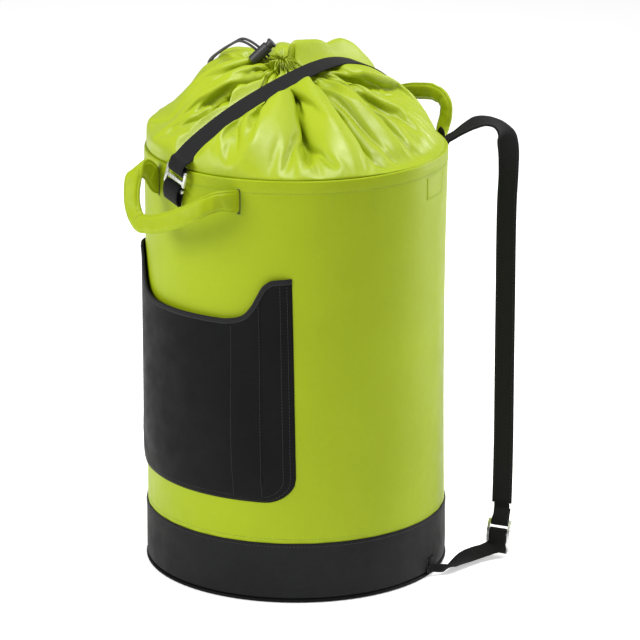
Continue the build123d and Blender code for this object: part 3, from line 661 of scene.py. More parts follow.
ph = np.linspace(-180, 180, 121)
wall_stitch("hem_stitches", ph, np.full(121, 483.4), 900)
wall_stitch("foot_stitches", ph, np.full(121, 76.4), 900)

# sewn patches and seams on the wall
def patch(name, phi0, phi1, z0, z1, mat, lift=0.75, nx=14, nz=10, round_top=0.0, edge=0.9):
    """a piece of cloth sewn flat on the wall, its edges turned down"""
    sp = np.linspace(0, 1, nx)
    sz = np.linspace(0, 1, nz)
    xs = np.r_[0, 0.004, sp[1:-1] * 0.98 + 0.01, 0.996, 1]
    zz = np.r_[0, 0.004, sz[1:-1] * 0.98 + 0.01, 0.996, 1]
    P = np.zeros((len(zz), len(xs), 3))
    for j, b in enumerate(zz):
        for i, a in enumerate(xs):
            l = lift if (0 < j < len(zz) - 1 and 0 < i < len(xs) - 1) else -0.15
            p = phi0 + (phi1 - phi0) * a
            z = z0 + (z1 - z0) * b
            P[j, i] = wall_at(p, z, l)
    U = xs * abs(phi1 - phi0) * D2R * R_OUT
    ob = grid(name, P, U, zz * (z1 - z0), mat)
    ride(ob, "bag")
    return ob


def px_patch_stitches(name, phi0, phi1, z0, z1, mat=None, body="bag", inset=1.6, lift=0.9):
    di = inset / R_OUT / D2R
    c = [(phi0 + di, z0 + inset), (phi1 - di, z0 + inset), (phi1 - di, z1 - inset), (phi0 + di, z1 - inset), (phi0 + di, z0 + inset)]
    obs = []
    for k in range(4):
        (p0, a0), (p1, a1) = c[k], c[k + 1]
        p = np.linspace(p0, p1, 30)
        z = np.linspace(a0, a1, 30)
        pts = wall_at(p, z, lift)
        nor = np.stack([np.cos(p * D2R), np.sin(p * D2R), 0 * p], -1)
        o = stitches(f"{name}_{k}", pts, nor, mat or THREAD_LIME, pitch=3.4, length=2.5, dia=0.55)
        ride(o, body)
        obs.append(o)
    return obs


# flat sewn rectangles under the hem, over the strap anchors' inner backing
for nm, p0, p1 in (("anchor_backing_right", 13.0, 27.6), ("anchor_backing_left", 152.4, 167.0)):
    patch(nm, p0, p1, 454.6, 480.6, LIME, 0.28)
    px_patch_stitches(nm + "_stitch", p0, p1, 454.6, 480.6, lift=0.36)
# upright joins of the wall, felled and stitched twice
wall_stitch("wall_tack_a", [-14.6, -14.6], [455, 476], 20, pitch=3.2, length=2.2, dia=0.5)
wall_stitch("wall_tack_b", [-31.6, -31.6], [459, 480], 20, pitch=3.2, length=2.2, dia=0.5)
for nm, p0 in (("wall_seam_back", 112.0),):
    wall_stitch(nm + "_a", [p0, p0], [90, 482], 60, pitch=4.4)
    wall_stitch(nm + "_b", [p0 + 2.0, p0 + 2.0], [90, 482], 60, pitch=4.4)

# ================================================================ foot: black band, welt, base
n_b = 240
phis = np.linspace(-180, 180, n_b, endpoint=False)
zb = [5.0, 3.2, 2.4, 5, 9, 16, 26, 38, 50, 60, 66, 69.5, 71.2, 71.9, 71.6, 70.0, 66.0]
rb = [172.4, 173.6, 175.0, 176.0, 176.4, 176.6, 176.6, 176.5, 176.4, 176.4, 176.5, 176.6, 176.5, 175.8, 175.1, 174.7, 174.5]
zb[0:4] = [6.5, 4.9, 4.6, 5.6]
P = np.zeros((len(zb), n_b, 3))
for j, (z, r) in enumerate(zip(zb, rb)):
    wob = 0.3 * np.sin(4 * phis * D2R + 0.4) + 0.22 * np.sin(9 * phis * D2R + z * 0.05)
    wob = wob * math.sin(math.pi * min(max((z - 4) / 68.0, 0), 1))
    edge = np.exp(-(((z - 70) / 4.0) ** 2)) * (0.16 * np.sin(46 * phis * D2R) + 0.12 * np.sin(31 * phis * D2R + 1))
    rr = r + wob + edge
    dz = edge * 0.5 if z > 60 else 0
    P[j] = np.stack([rr * np.cos(phis * D2R), rr * np.sin(phis * D2R), z + dz + 0 * rr], -1)
V = np.r_[0, np.cumsum(np.linalg.norm(np.diff(P[:, 0], axis=0), axis=1))]
band_ob = grid("base_band_cloth", P, np.r_[phis, 180] * D2R * 175, V, BASE_BLACK, closed_u=True)
m = band_ob.modifiers.new("sub", "SUBSURF")
m.levels = m.render_levels = 1
evaluated(band_ob)
ride(band_ob, "bag")
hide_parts("base_band")
ob = stitches("base_band_stitches", *[np.stack([176.75 * np.cos(phis * D2R), 176.75 * np.sin(phis * D2R), np.full(n_b, 68.2)], -1), np.stack([np.cos(phis * D2R), np.sin(phis * D2R), 0 * phis], -1)], THREAD_BLACK)
ride(ob, "bag")
# welt cord round the foot, its cover pulled in by the stitching
sec = np.linspace(0, 2 * math.pi, 14, endpoint=False)
phw = np.linspace(-180, 180, 480, endpoint=False)
P = np.zeros((len(sec), len(phw), 3))
for j, a in enumerate(sec):
    rr = 2.1 + 0.10 * np.sin(phw * 1.0 * 2.0) ** 2 * 0 + 0.07 * np.sin(120 * phw * D2R)
    R = 175.3 + rr * math.cos(a)
    P[j] = np.stack([R * np.cos(phw * D2R), R * np.sin(phw * D2R), 2.2 + rr * math.sin(a)], -1)
welt = grid("foot_welt", P, np.r_[phw, 180] * D2R * 175, np.arange(len(sec) + 1) * 1.0, BLACK, closed_u=True, closed_v=True)
fix_normals(welt)
ride(welt, "bag")
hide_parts("base_piping")
# underside: one round panel, sewn to the welt, with a faint ring where the board's edge bears
rad = np.r_[0.0, 20, 50, 80, 110, 135, 150, 158, 163, 166, 168.5, 170.5, 171.8, 172.5]
zz = np.r_[0.15, 0.15, 0.12, 0.1, 0.08, 0.06, 0.03, 0.0, 0.02, 0.15, 0.4, 0.75, 1.1, 1.6]
P = np.zeros((len(rad) * 2 - 1, 180, 3))
pb = np.linspace(-180, 180, 180, endpoint=False)
prof2 = list(zip(rad, zz)) + [(r, 1.75) for r in rad[::-1][1:]]
for j, (r, z) in enumerate(prof2):
    r = max(r, 0.4)
    P[j] = np.stack([r * np.cos(pb * D2R), r * np.sin(pb * D2R), np.full(180, z)], -1)
base = grid("base_underside", P, np.r_[pb, 180] * D2R * 100, np.r_[rad, 172.5 + np.cumsum(np.abs(np.diff(rad[::-1])))], BLACK, closed_u=True)
fix_normals(base)
ride(base, "bag")
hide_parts("base_panel")
ob = stitches("base_stitches", np.stack([169.5 * np.cos(pb * D2R), 169.5 * np.sin(pb * D2R), np.full(180, 0.62)], -1), np.tile([0, 0, -1.0], (180, 1)), THREAD_BLACK)
ride(ob, "bag")

# ================================================================ inside: lining, stiff parts, rope end loops
pl = np.linspace(-180, 180, 120, endpoint=False)
zl = np.r_[6.4, 6.0, 7.5, np.arange(20, 480, 20.0), 484.0]
P = np.zeros((len(zl), 120, 3))
for j, z in enumerate(zl):
    r = 60.0 if j == 0 else (167.0 if j == 1 else 168.3)
    w = 0.25 * np.sin(9 * pl * D2R + z * 0.03) if j > 2 else 0
    P[j] = np.stack([(r + w) * np.cos(pl * D2R), (r + w) * np.sin(pl * D2R), np.full(120, z)], -1)
lining = grid("bag_lining", P, np.r_[pl, 180] * D2R * 168, np.r_[0, 107, 109, 109 + np.cumsum(np.diff(zl[2:]))], LINING, closed_u=True, flip=True)
solidify(lining, 0.5, 0.0)
ride(lining, "bag")
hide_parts("wall_liner")

LOOP_ST = []
for nm, z0 in (("rope_loop_top", 440.0), ("rope_loop_bottom", 40.0)):
    st = [(-166.9, 0, z0 - 16, 0, 1, 0, 20, 1.5), (-165.0, 0, z0 - 15.5, 0, 1, 0, 20, 1.5), (-158.5, 0, z0 - 10.5, 0, 1, 0, 20, 1.5), (-155.4, 0, z0 - 4, 0, 1, 0, 20, 1.5),
          (-155.2, 0, z0 + 4, 0, 1, 0, 20, 1.5), (-158.5, 0, z0 + 10.5, 0, 1, 0, 20, 1.5), (-165.0, 0, z0 + 15.5, 0, 1, 0, 20, 1.5), (-166.9, 0, z0 + 16, 0, 1, 0, 20, 1.5)]
    ob, _ = band(nm + "_webbing", st, 40, WEB)
    ride(ob, "bag")
    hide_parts(nm)


# ================================================================ front pocket
HALF = 124.5
TOP_X = [0, 54, 69, 80, 89.5, 96.5, 102.5, 112, 124.5]
TOP_Z = [334.2, 334.6, 336.6, 340.8, 351.5, 365.5, 377.0, 383.5, 384.5]


def pocket_top(x):
    return interp1(np.abs(x), TOP_X, TOP_Z)


def pocket_bot(x):
    a = np.clip(np.abs(x) - (HALF - 30.0), 0, 30.0)
    return 120.0 + 30.0 - np.sqrt(np.maximum(900.0 - a * a, 0.0))


def pocket_point(x, f, lift=0.0):
    """x across, f from the bottom edge (0) to the top edge (1)"""
    x = np.asarray(x, float)
    zb_, zt_ = pocket_bot(x), pocket_top(x)
    z = zb_ + (zt_ - zb_) * f
    side = (HALF - np.abs(x))
    x_in = 0.034 * np.clip(x, 0, None) * np.clip((z - 120.0) / 265.0, 0, 1)
    low = (z - 120.0)
    corner = np.abs(x) - (HALF - 30.0)
    cz = 150.0 - z
    din = np.where((corner > 0) & (cz > 0), 30.0 - np.hypot(np.clip(corner, 0, None), np.clip(cz, 0, None)), np.minimum(side, low))
    rise = 1 - np.exp(-np.clip(din, 0, None) / 3.2)
    r = wall_r(-90 + np.degrees(np.arcsin(np.clip(x / 180.0, -1, 1))), z) + 0.5 + rise * 4.6
    belly = np.clip(din / 50.0, 0, 1)
    belly = belly * belly * (3 - 2 * belly)
    r = r + belly * (1.3 + 1.1 * np.sin((z - 120) / 215.0 * math.pi)) * (0.75 + 0.25 * np.cos(x / 60.0))
    # soft slanting folds of the cloth, and drags from the corners
    r = r + belly * (0.55 * np.sin((x * 0.8 + z * 0.5) / 19.0) + 0.4 * np.sin((x * 0.3 - z * 0.9) / 27.0 + 1.0))
    fold = np.exp(-(((np.abs(x) - 100) - (z - 150) * 0.8) / 5.0) ** 2) * np.exp(-(((z - 152) / 18.0) ** 2))
    r = r + 0.9 * fold
    r = r + lift
    x = x - x_in
    return np.stack([x, -np.sqrt(np.maximum(r * r - x * x, 1.0)), z], -1)


xs = HALF * np.sin(np.linspace(-math.pi / 2, math.pi / 2, 111))
xs = np.sign(xs) * (np.abs(xs) * 0.45 + 0.55 * HALF * np.linspace(-1, 1, 111) * np.sign(xs))
fs = np.r_[0, 0.006, 0.015, 0.03, 0.05, np.linspace(0.08, 0.94, 40), 0.965, 0.985, 1.0]
P = np.zeros((len(fs), len(xs), 3))
for j, f in enumerate(fs):
    P[j] = pocket_point(xs, f)
L = np.r_[0, np.cumsum(np.linalg.norm(np.diff(P[:, 55], axis=0), axis=1))]
pocket = grid("front_pocket_cloth", P, xs, L, BLACK)
solidify(pocket, 1.3, -1.0)
ride(pocket, "bag")
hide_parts("pocket_panel")

# binding folded over the pocket's top edge
xb = np.linspace(-HALF, HALF, 260)
tp = pocket_point(xb, 1.0)
dn = []
for k in range(len(xb)):
    a, b = tp[max(k - 1, 0)], tp[min(k + 1, len(xb) - 1)]
    t = unit(b - a)
    n = unit(vec(tp[k][0], tp[k][1], 0))
    d = np.cross(t, n)
    if d[2] > 0:
        d = -d
    dn.append((t, n, unit(d)))
sec = [(-2.2, 4.6), (-2.45, 4.0), (-2.4, 1.0), (-2.0, -0.7), (-0.9, -1.3), (0.3, -1.0), (0.75, 0.4), (0.8, 2.4), (0.75, 4.4), (0.45, 4.9), (-0.1, 4.7)]
P = np.zeros((len(sec), len(xb), 3))
for j, (o, d) in enumerate(sec):
    for k in range(len(xb)):
        t, n, dd = dn[k]
        P[j, k] = tp[k] + n * o + dd * d
S = np.r_[0, np.cumsum(np.linalg.norm(np.diff(tp, axis=0), axis=1))]
bind = grid("pocket_binding_tape", P, S, np.arange(len(sec) + 1) * 1.3, TAPE, closed_v=True)
fix_normals(bind)
ride(bind, "bag")
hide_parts("pocket_binding")
pts = np.array([tp[k] + dn[k][1] * 0.85 + dn[k][2] * 3.6 for k in range(len(xb))])
ob = stitches("pocket_binding_stitches", pts, np.array([d[1] for d in dn]), THREAD_BLACK, pitch=3.4, length=2.5, dia=0.5)
ride(ob, "bag")


# seam stitches round the sides and bottom
def pocket_path(inset, n=500):
    pts, nor = [], []
    zz = np.linspace(378, 150, 140)
    path = [(-(HALF - inset), z) for z in zz]
    for a in np.linspace(0, 90, 30)[1:]:
        path.append((-(HALF - 30) - (30 - inset) * math.cos(a * D2R), 150 - (30 - inset) * math.sin(a * D2R)))
    for x in np.linspace(-(HALF - 30), HALF - 30, 160)[1:]:
        path.append((x, 120 + inset))
    for a in np.linspace(90, 0, 30)[1:]:
        path.append(((HALF - 30) + (30 - inset) * math.cos(a * D2R), 150 - (30 - inset) * math.sin(a * D2R)))
    path += [((HALF - inset), z) for z in zz[::-1][1:]]
    for x, z in path:
        f = (z - pocket_bot(x)) / (pocket_top(x) - pocket_bot(x))
        p = pocket_point(np.array([x]), float(f), 0.1)[0]
        pts.append(p)
        nor.append(unit(vec(p[0], p[1], 0)))
    return np.array(pts), np.array(nor)


for i, ins in enumerate((2.6, 7.6)):
    a, b = pocket_path(ins)
    ob = stitches(f"pocket_seam_stitches_{i}", a, b, THREAD_BLACK, pitch=3.8, length=2.8, dia=0.55)
    ride(ob, "bag")

# bare strip sewn up the pocket's right side
sx = np.r_[65.5, 65.9, np.linspace(67.5, 97.0, 14), 98.6, 99.0]
P = np.zeros((62, len(sx), 3))
for i, x in enumerate(sx):
    zb_, zt_ = pocket_bot(x), pocket_top(x)
    f0, f1 = (124.5 - zb_) / (zt_ - zb_), 1 - 6.2 / (zt_ - zb_)
    for j, q in enumerate(np.r_[0, 0.004, np.linspace(0.015, 0.985, 58), 0.996, 1]):
        l = 0.62 if (0 < i < len(sx) - 1 and 0 < j < 61) else 0.0
        P[j, i] = pocket_point(np.array([x]), float(f0 + (f1 - f0) * q), l)[0]
strip = grid("pocket_strip_cloth", P, sx, np.linspace(0, 215, 62), BLACK)
ride(strip, "bag")
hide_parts("pocket_strip")
for i, x in enumerate((67.0, 97.5)):
    q = np.linspace(0.03, 0.965, 150)
    a = np.array([pocket_point(np.array([x]), float(f), 0.68)[0] for f in q])
    ob = stitches(f"pocket_strip_stitches_{i}", a, np.array([unit(vec(p[0], p[1], 0)) for p in a]), THREAD_BLACK, pitch=3.8, length=2.8, dia=0.5)
    ride(ob, "bag")


# ================================================================ hook, its loop and the closing strap
HX = unit(vec(0.954814, -0.053382, -0.292372))
HOUT = unit(vec(math.cos(-93.2 * D2R), math.sin(-93.2 * D2R), 0))
HY = unit(np.cross(HOUT, HX))
HO = vec(-10.2, -182.2, 486.0)
BAR = HO + HY * 14.3
LB = HO + HY * -8.05
STRAP = [(-5.0, -178.5, 508.0), (-4.2, -174.5, 512.6), (-7.0, -157.0, 521.0), (-7.4, -119.1, 538.3), (-5.6, -76.5, 554.8),
         (-4.1, -41.2, 565.4), (-2.5, -2.5, 575.2), (-0.7, 39.7, 583.4), (0.4, 64.9, 584.9), (1.6, 95.2, 579.6),
         (2.7, 121.0, 568.0), (3.8, 146.0, 549.0), (4.6, 166.0, 525.0), (5.0, 176.0, 506.0), (5.2, 177.4, 492.0), (5.2, 177.6, 452.0)]


def st(p, w, W, T):
    return (*[float(x) for x in p], *[float(x) for x in w], float(W), float(T))


fold = []
for dz, dy in ((-3.3, 14.0), (-3.3, 6.0), (-3.2, 0.0), (-2.6, -2.8), (0.0, -4.2), (2.6, -2.8), (3.2, 0.0), (3.1, 5.0), (1.4, 9.8)):
    fold.append(st(BAR + HOUT * dz + HY * dy, HX, 24.6, 1.5))
fold = fold[1:]
for i, q in enumerate(STRAP):
    if i == 0:
        continue
    k = min(1.0, i / 4.0)
    wdir = HX * (1 - k) + vec(1, 0.03, -0.16 * (1 - max(0, q[1]) / 180.0) - 0.06) * k
    fold.append(st(q, wdir, 25.0, 1.5))
strap_ob, strap_fr = band("closing_strap_webbing", fold, 460, WEB_STRAP)
ride(strap_ob, "bag")
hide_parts("closing_strap")


def cross_stitch(name, fr, s, half_w, body, slot="black_webbing", side=1, mat=None, lift=0.85, rows=(0.0,)):
    """bar of stitches across a webbing at distance s along it"""
    c, t, w, nn, L, S = fr
    obs = []
    for r_i, dr in enumerate(rows):
        k = int(np.argmin(np.abs(L - (s + dr))))
        a = np.linspace(-half_w, half_w, 20)
        pts = c[k] + np.outer(a, w[k]) + nn[k] * side * lift
        o = stitches(f"{name}_{r_i}", pts, np.tile(nn[k] * side, (20, 1)), mat or THREAD_BLACK, pitch=2.6, length=2.1, dia=0.55)
        ride(o, body)
        obs.append(o)
    return obs


loop_st = []
for dz, dy in ((-4.9, -20.5), (-4.6, -10.0), (-4.5, 0.0), (-3.4, 3.4), (0.0, 5.0), (3.3, 3.6), (4.5, 0.2), (4.2, -6.0), (2.4, -13.0), (-1.6, -19.6), (-3.4, -20.6)):
    loop_st.append(st(LB + HOUT * dz + HY * dy, HX, 24.6, 1.4))
loop_ob, loop_fr = band("hook_loop_webbing", loop_st, 110, WEB)
ride(loop_ob, "bag")
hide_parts("hook_loop")

# ================================================================ handles: folded, padded bands through slits in the wall
def padded_section(n=44):
    """a folded tube of cloth over a soft core: crowned middle, a stitched groove inside each edge"""
    a = np.linspace(0, 2 * math.pi, n, endpoint=False)
    x = np.sign(np.cos(a)) * np.abs(np.cos(a)) ** 0.8
    y = np.sign(np.sin(a)) * np.sqrt(np.clip(1 - np.abs(x) ** 3.0, 0.0, 1)) * (1 - 0.42 * np.exp(-(((np.abs(x) - 0.80) / 0.075) ** 2)))
    return np.stack([x, y], -1)


def handle_piece(name, sts, n, seed, node_names):
    sec = padded_section()
    S = spline(np.array(sts, float), n)
    c, t, w, nn = frames_of(S)
    L = np.r_[0, np.cumsum(np.linalg.norm(np.diff(c, axis=0), axis=1))]
    m = len(sec)
    P = np.zeros((n, m, 3))
    r_ = np.random.RandomState(seed)
    ph = r_.rand(8) * 6.28
    turn = np.linalg.norm(np.gradient(t, axis=0), axis=1) / np.maximum(np.gradient(L), 1e-6)
    curv = np.convolve(np.pad(turn, 4, mode="edge"), np.ones(9) / 9, mode="valid")
    for i in range(n):
        W, T = S[i, 6] / 2, S[i, 7] / 2
        s = L[i]
        mid = math.sin(math.pi * min(max(s / L[-1], 0), 1))
        for k in range(m):
            a, b = sec[k]
            # crumples across the band, strongest where it bends
            amp = (0.25 + 26.0 * min(curv[i], 0.05)) * mid
            cr_ = amp * (0.62 * math.sin(s / 2.3 + a * 1.3 + ph[0]) * (0.5 + 0.5 * math.sin(s / 13.0 + ph[1])) + 0.5 * math.sin(s / 4.1 - a * 1.9 + ph[2]) + 0.3 * math.sin(s / 1.5 + a * 2.6 + ph[4]) * math.sin(s / 9.0 + ph[3]))
            # the end is doubled back over itself, cut on the slant
            lap = 0.0
            for s_end, sg in ((L[-1] * 0.0 + 30.0, 1), (L[-1] - 30.0, -1)):
                edge_s = (s_end - s) * sg + 6.0 * a
                lap = max(lap, 1.15 / (1 + math.exp(-np.clip(edge_s / 0.55, -30, 30))))
            lap *= min(1.0, mid * 3.0) if s > 10 and s < L[-1] - 10 else 0.0
            q = c[i] + w[i] * (a * W * (1 + 0.04 * cr_)) + nn[i] * b * (T + cr_ * 0.8 + lap)
            P[i, k] = q
    wid = S[:, 6].mean()
    u = np.r_[np.arange(m) / m, 1.0] * 2 * (wid + 6)
    v, f, uv = grid_data(P, u, L, closed_u=True)
    f = list(f)
    f.append(list(range(m)))
    uv += [(sec[k, 0] * wid / 20, sec[k, 1] * 0.3) for k in range(m)]
    f.append([(n - 1) * m + k for k in range(m)][::-1])
    uv += [(sec[k, 0] * wid / 20, sec[k, 1] * 0.3) for k in range(m)][::-1]
    ob = make(name, v, f, LIME, uv)
    fix_normals(ob)
    mm = ob.modifiers.new("sub", "SUBSURF")
    mm.levels = mm.render_levels = 1
    evaluated(ob)
    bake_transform(ob)
    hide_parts(*node_names)
    # thread along both stitched grooves, on both faces
    outs = []
    for side, sg, a in (("outer_a", 1, -0.8), ("inner_a", -1, -0.8), ("outer_b", 1, 0.8), ("inner_b", -1, 0.8)):
        pts = np.array([c[i] + w[i] * a * S[i, 6] / 2 + nn[i] * sg * (S[i, 7] / 2 * 0.58 * math.sqrt(1 - abs(a) ** 3.0) + 0.15) for i in range(n)])
        lo, hi = int(n * 0.12), int(n * 0.88)
        o = stitches(f"{name}_stitches_{side}", pts[lo:hi], nn[lo:hi] * sg, THREAD_LIME, pitch=3.6, length=2.6, dia=0.6)
        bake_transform(o)
        outs.append(o)
    return ob


Z = (0, 0, 1)
FRONT_ST = [
    st((69.8, -156.0, 473.0), Z, 26, 2.6), st((69.8, -163.0, 473.2), Z, 26, 2.6), st((70.0, -168.5, 473.6), Z, 26, 3.2),
    st((69.6, -175.0, 475.0), (0, 0.05, 1), 25.5, 5.5), st((67.6, -184.0, 476.5), (0, 0.15, 1), 24, 8.0), st((63.0, -194.5, 475.5), (-0.05, 0.25, 1), 22.5, 9.0),
    st((54.5, -205.0, 469.5), (-0.15, 0.25, 0.95), 22, 9.2), st((41.0, -212.0, 461.5), (-0.2, 0.2, 0.95), 22, 9.2), st((24.0, -216.5, 453.5), (-0.2, 0.15, 0.97), 22, 9.2),
    st((4.0, -219.5, 446.0), (-0.18, 0.12, 1), 22, 9.2), st((-13.0, -221.0, 441.8), (-0.12, 0.1, 1), 22, 9.2), st((-27.0, -220.5, 441.2), (0.15, 0.2, 0.95), 21.5, 9.5),
    st((-38.5, -218.5, 448.5), (0.62, 0.3, 0.7), 20.5, 10), st((-45.5, -215.5, 460.5), (0.85, 0.35, 0.35), 20, 9.6), st((-49.8, -211.8, 473.5), (0.9, 0.38, 0.12), 20, 9.2),
    st((-52.3, -206.5, 485.5), (0.85, 0.45, 0.18), 20.5, 9.2), st((-53.0, -199.5, 493.0), (0.7, 0.3, 0.55), 21, 9.4), st((-53.2, -190.5, 494.5), (0.3, 0.05, 0.95), 22, 9.0),
    st((-53.6, -182.0, 489.5), (0.06, 0, 1), 23, 7.5), st((-54.2, -174.0, 479.5), (0, 0.2, 1), 24.5, 5.0), st((-54.4, -168.5, 473.5), Z, 25.5, 3.2),
    st((-54.4, -163.0, 471.5), Z, 26, 2.6), st((-54.4, -156.0, 471.0), Z, 26, 2.6)]
fh = handle_piece("front_handle_band", FRONT_ST, 230, 3, ["front_handle_grip", "front_handle_core"])
REAR_ST = [
    st((61.8, 157.0, 473.0), Z, 26, 2.6), st((61.8, 164.0, 473.2), Z, 26, 2.6), st((61.6, 169.5, 473.6), Z, 25.5, 3.4),
    st((60.0, 177.0, 477.0), (0.15, 0, 1), 24, 6.0), st((56.4, 185.5, 484.5), (0.6, 0.1, 0.8), 21, 8.0), st((53.8, 191.0, 495.0), (0.95, 0.1, 0.3), 19, 8.6),
    st((54.4, 194.5, 507.0), (1, 0, 0.05), 18.5, 8.6), st((52.6, 197.0, 518.5), (0.88, 0, 0.45), 18.5, 8.6), st((43.5, 198.5, 527.0), (0.45, 0, 0.9), 19, 8.6),
    st((29.0, 199.5, 530.2), (0.05, 0, 1), 20, 8.6), st((11.0, 200.0, 528.6), (-0.05, 0, 1), 20, 8.6), st((-8.0, 200.0, 525.0), (-0.12, 0, 1), 20, 8.6),
    st((-26.0, 199.5, 519.5), (-0.25, 0, 0.95), 20, 8.6), st((-42.0, 197.5, 511.5), (-0.5, 0, 0.85), 20, 8.6), st((-52.5, 193.5, 500.0), (-0.8, 0, 0.55), 20, 8.6),
    st((-57.5, 186.5, 489.0), (-0.6, 0, 0.8), 21, 8.0), st((-60.5, 177.5, 479.5), (-0.15, 0, 1), 24, 6.0), st((-61.6, 169.5, 474.5), Z, 25.5, 3.4),
    st((-61.8, 164.0, 473.2), Z, 26, 2.6), st((-61.8, 157.0, 473.0), Z, 26, 2.6)]
rh = handle_piece("rear_handle_band", REAR_ST, 210, 11, ["rear_handle_grip", "rear_handle_core"])

# the bands' ends spread and sewn flat behind the wall, a dark ring round each slit as painted shade of its recess, and
# bartacks above and below
for tag, phi in (("front", FRONT_PHI), ("rear", REAR_PHI)):
    for side, s in (("left", -1), ("right", 1)):
        p0 = phi + s * math.degrees(math.asin(SLIT_A / R_OUT))
        a0, a1 = p0 - 0.2 * s, p0 + 9.0 * s
        ps = np.linspace(a0, a1, 12)
        zs2 = np.r_[460.4, 460.6, np.linspace(462, 482.6, 8), 484.0, 484.2]
        P = np.zeros((len(zs2), 12, 3))
        for j, z in enumerate(zs2):
            r = 172.0 + (0.35 if 0 < j < len(zs2) - 1 else 0.0)
            P[j] = np.stack([r * np.cos(ps * D2R), r * np.sin(ps * D2R), np.full(12, z)], -1)
        tab = grid(f"{tag}_handle_root_{side}", P, ps * D2R * 172, zs2, LIME)
        solidify(tab, 0.9, 0.0)
        ride(tab, "bag")
        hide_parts(f"{tag}_handle_tab_{side}")
        # a ring in black thread material round the slit: painted shade standing in for the slit's dark recess
        ring_pts, ring_n = [], []
        for a in np.linspace(0, 2 * math.pi, 64, endpoint=False):
            dx, dz = math.cos(a), math.sin(a)
            pp = p0 + (SLIT_HALF + 0.12) * np.sign(dx) * abs(dx) ** 0.35
            zz_ = (SLIT_LO + SLIT_HI) / 2 + ((SLIT_HI - SLIT_LO) / 2 + 0.4) * np.sign(dz) * abs(dz) ** 0.6
            ring_pts.append(wall_at(pp, zz_, 0.1))
            ring_n.append(unit(vec(math.cos(pp * D2R), math.sin(pp * D2R), 0)))
        ring_pts = np.array(ring_pts)
        rr = []
        for k in range(64):
            t = unit(ring_pts[(k + 1) % 64] - ring_pts[k - 1])
            b = np.cross(t, ring_n[k])
            rr.append([ring_pts[k] + (ring_n[k] * math.cos(q) * 0.45 + b * math.sin(q) * 0.5) for q in np.linspace(0, 2 * math.pi, 8, endpoint=False)])
        P = np.array(rr).transpose(1, 0, 2)
        ed = grid(f"{tag}_slit_shade_ring_{side}", P, np.arange(65) * 1.0, np.arange(9) * 0.4, THREAD_BLACK, closed_u=True, closed_v=True)
        fix_normals(ed)
        ride(ed, "bag")
        for zt in (SLIT_LO - 1.6, SLIT_HI + 1.6):
            q = np.linspace(p0 - 1.1, p0 + 1.1, 12)
            o = stitches(f"{tag}_bartack_{side}_{'low' if zt < 470 else 'high'}", wall_at(q, zt, 0.2), np.stack([np.cos(q * D2R), np.sin(q * D2R), 0 * q], -1), THREAD_LIME, pitch=1.1, length=1.6, dia=0.8)
            ride(o, "bag")


# ================================================================ cords: two drawcord tails, the knot, the ring in the hem
def nurbs_path(name, pts):
    """the route as one NURBS curve, read back as points (mm)"""
    cu = bpy.data.curves.new(name, "CURVE")
    cu.dimensions = "3D"
    sp = cu.splines.new("NURBS")
    sp.points.add(len(pts) - 1)
    for k, p in enumerate(pts):
        sp.points[k].co = (*p, 1.0)
    sp.order_u = 3
    sp.use_endpoint_u = True
    sp.resolution_u = 16
    ob = bpy.data.objects.new(name, cu)
    scene.collection.objects.link(ob)
    dg = bpy.context.evaluated_depsgraph_get()
    dg.update()
    me = bpy.data.meshes.new_from_object(ob.evaluated_get(dg))
    out = np.array([tuple(v.co) for v in me.vertices])
    bpy.data.meshes.remove(me)
    bpy.data.objects.remove(ob)
    bpy.data.curves.remove(cu)
    return out / MM


def along(path, step):
    d = np.r_[0, np.cumsum(np.linalg.norm(np.diff(path, axis=0), axis=1))]
    k = max(8, int(d[-1] / step))
    s = np.linspace(0, d[-1], k)
    return np.stack([np.interp(s, d, path[:, j]) for j in range(3)], -1), s


def transported(c, start=(0, 0, 1), closed=False):
    """tangents and two side directions that turn as little as possible"""
    n = len(c)
    if closed:
        t = np.roll(c, -1, 0) - np.roll(c, 1, 0)
    else:
        t = np.gradient(c, axis=0)
    t /= np.linalg.norm(t, axis=1)[:, None]
    a = np.asarray(start, float)
    if abs(a.dot(t[0])) > 0.95:
        a = vec(1, 0, 0)
    A = np.zeros_like(c)
    for i in range(n):
        a = a - t[i] * a.dot(t[i])
        a = a / np.linalg.norm(a)
        A[i] = a
    B = np.cross(t, A)
    if closed:
        # spread the closing twist
        e = A[-1] - t[0] * A[-1].dot(t[0])
        e = unit(e)
        ang = math.atan2(e.dot(B[0]), e.dot(A[0]))
        for i in range(n):
            q = -ang * i / n
            A2 = A[i] * math.cos(q) + B[i] * math.sin(q)
            B2 = -A[i] * math.sin(q) + B[i] * math.cos(q)
            A[i], B[i] = A2, B2
    return t, A, B


def braided_tube(name, path, dia, mat, closed=False, carriers=8, relief=0.07, sides=20, lean=7.0, step=0.55, ends=True):
    """round braid: the surface rises where a yarn passes over"""
    c, s = along(path, step)
    if closed:
        c, s = c[:-1], s[:-1]
    t, A, B = transported(c, closed=closed)
    th = np.linspace(0, 2 * math.pi, sides, endpoint=False)
    P = np.zeros((len(c), sides, 3))
    half = carriers / 2
    for i in range(len(c)):
        q = 2 * math.pi * s[i] / lean
        w = np.cos(half * th + q) * np.cos(half * th - q)
        r = dia / 2 * (1 + relief * w)
        P[i] = c[i] + np.outer(r * np.cos(th), A[i]) + np.outer(r * np.sin(th), B[i])
    V = np.r_[s, s[-1] + step] if closed else s
    v, f, uv = grid_data(P, np.linspace(0, 10, sides + 1), V, closed_u=True, closed_v=closed)
    f = list(f)
    if not closed and ends:
        m = sides
        f.append(list(range(m))[::-1])
        f.append([(len(c) - 1) * m + k for k in range(m)])
        uv += [(0.5, 0.5)] * (2 * m)
    ob = make(name, v, f, mat, uv)
    fix_normals(ob)
    return ob


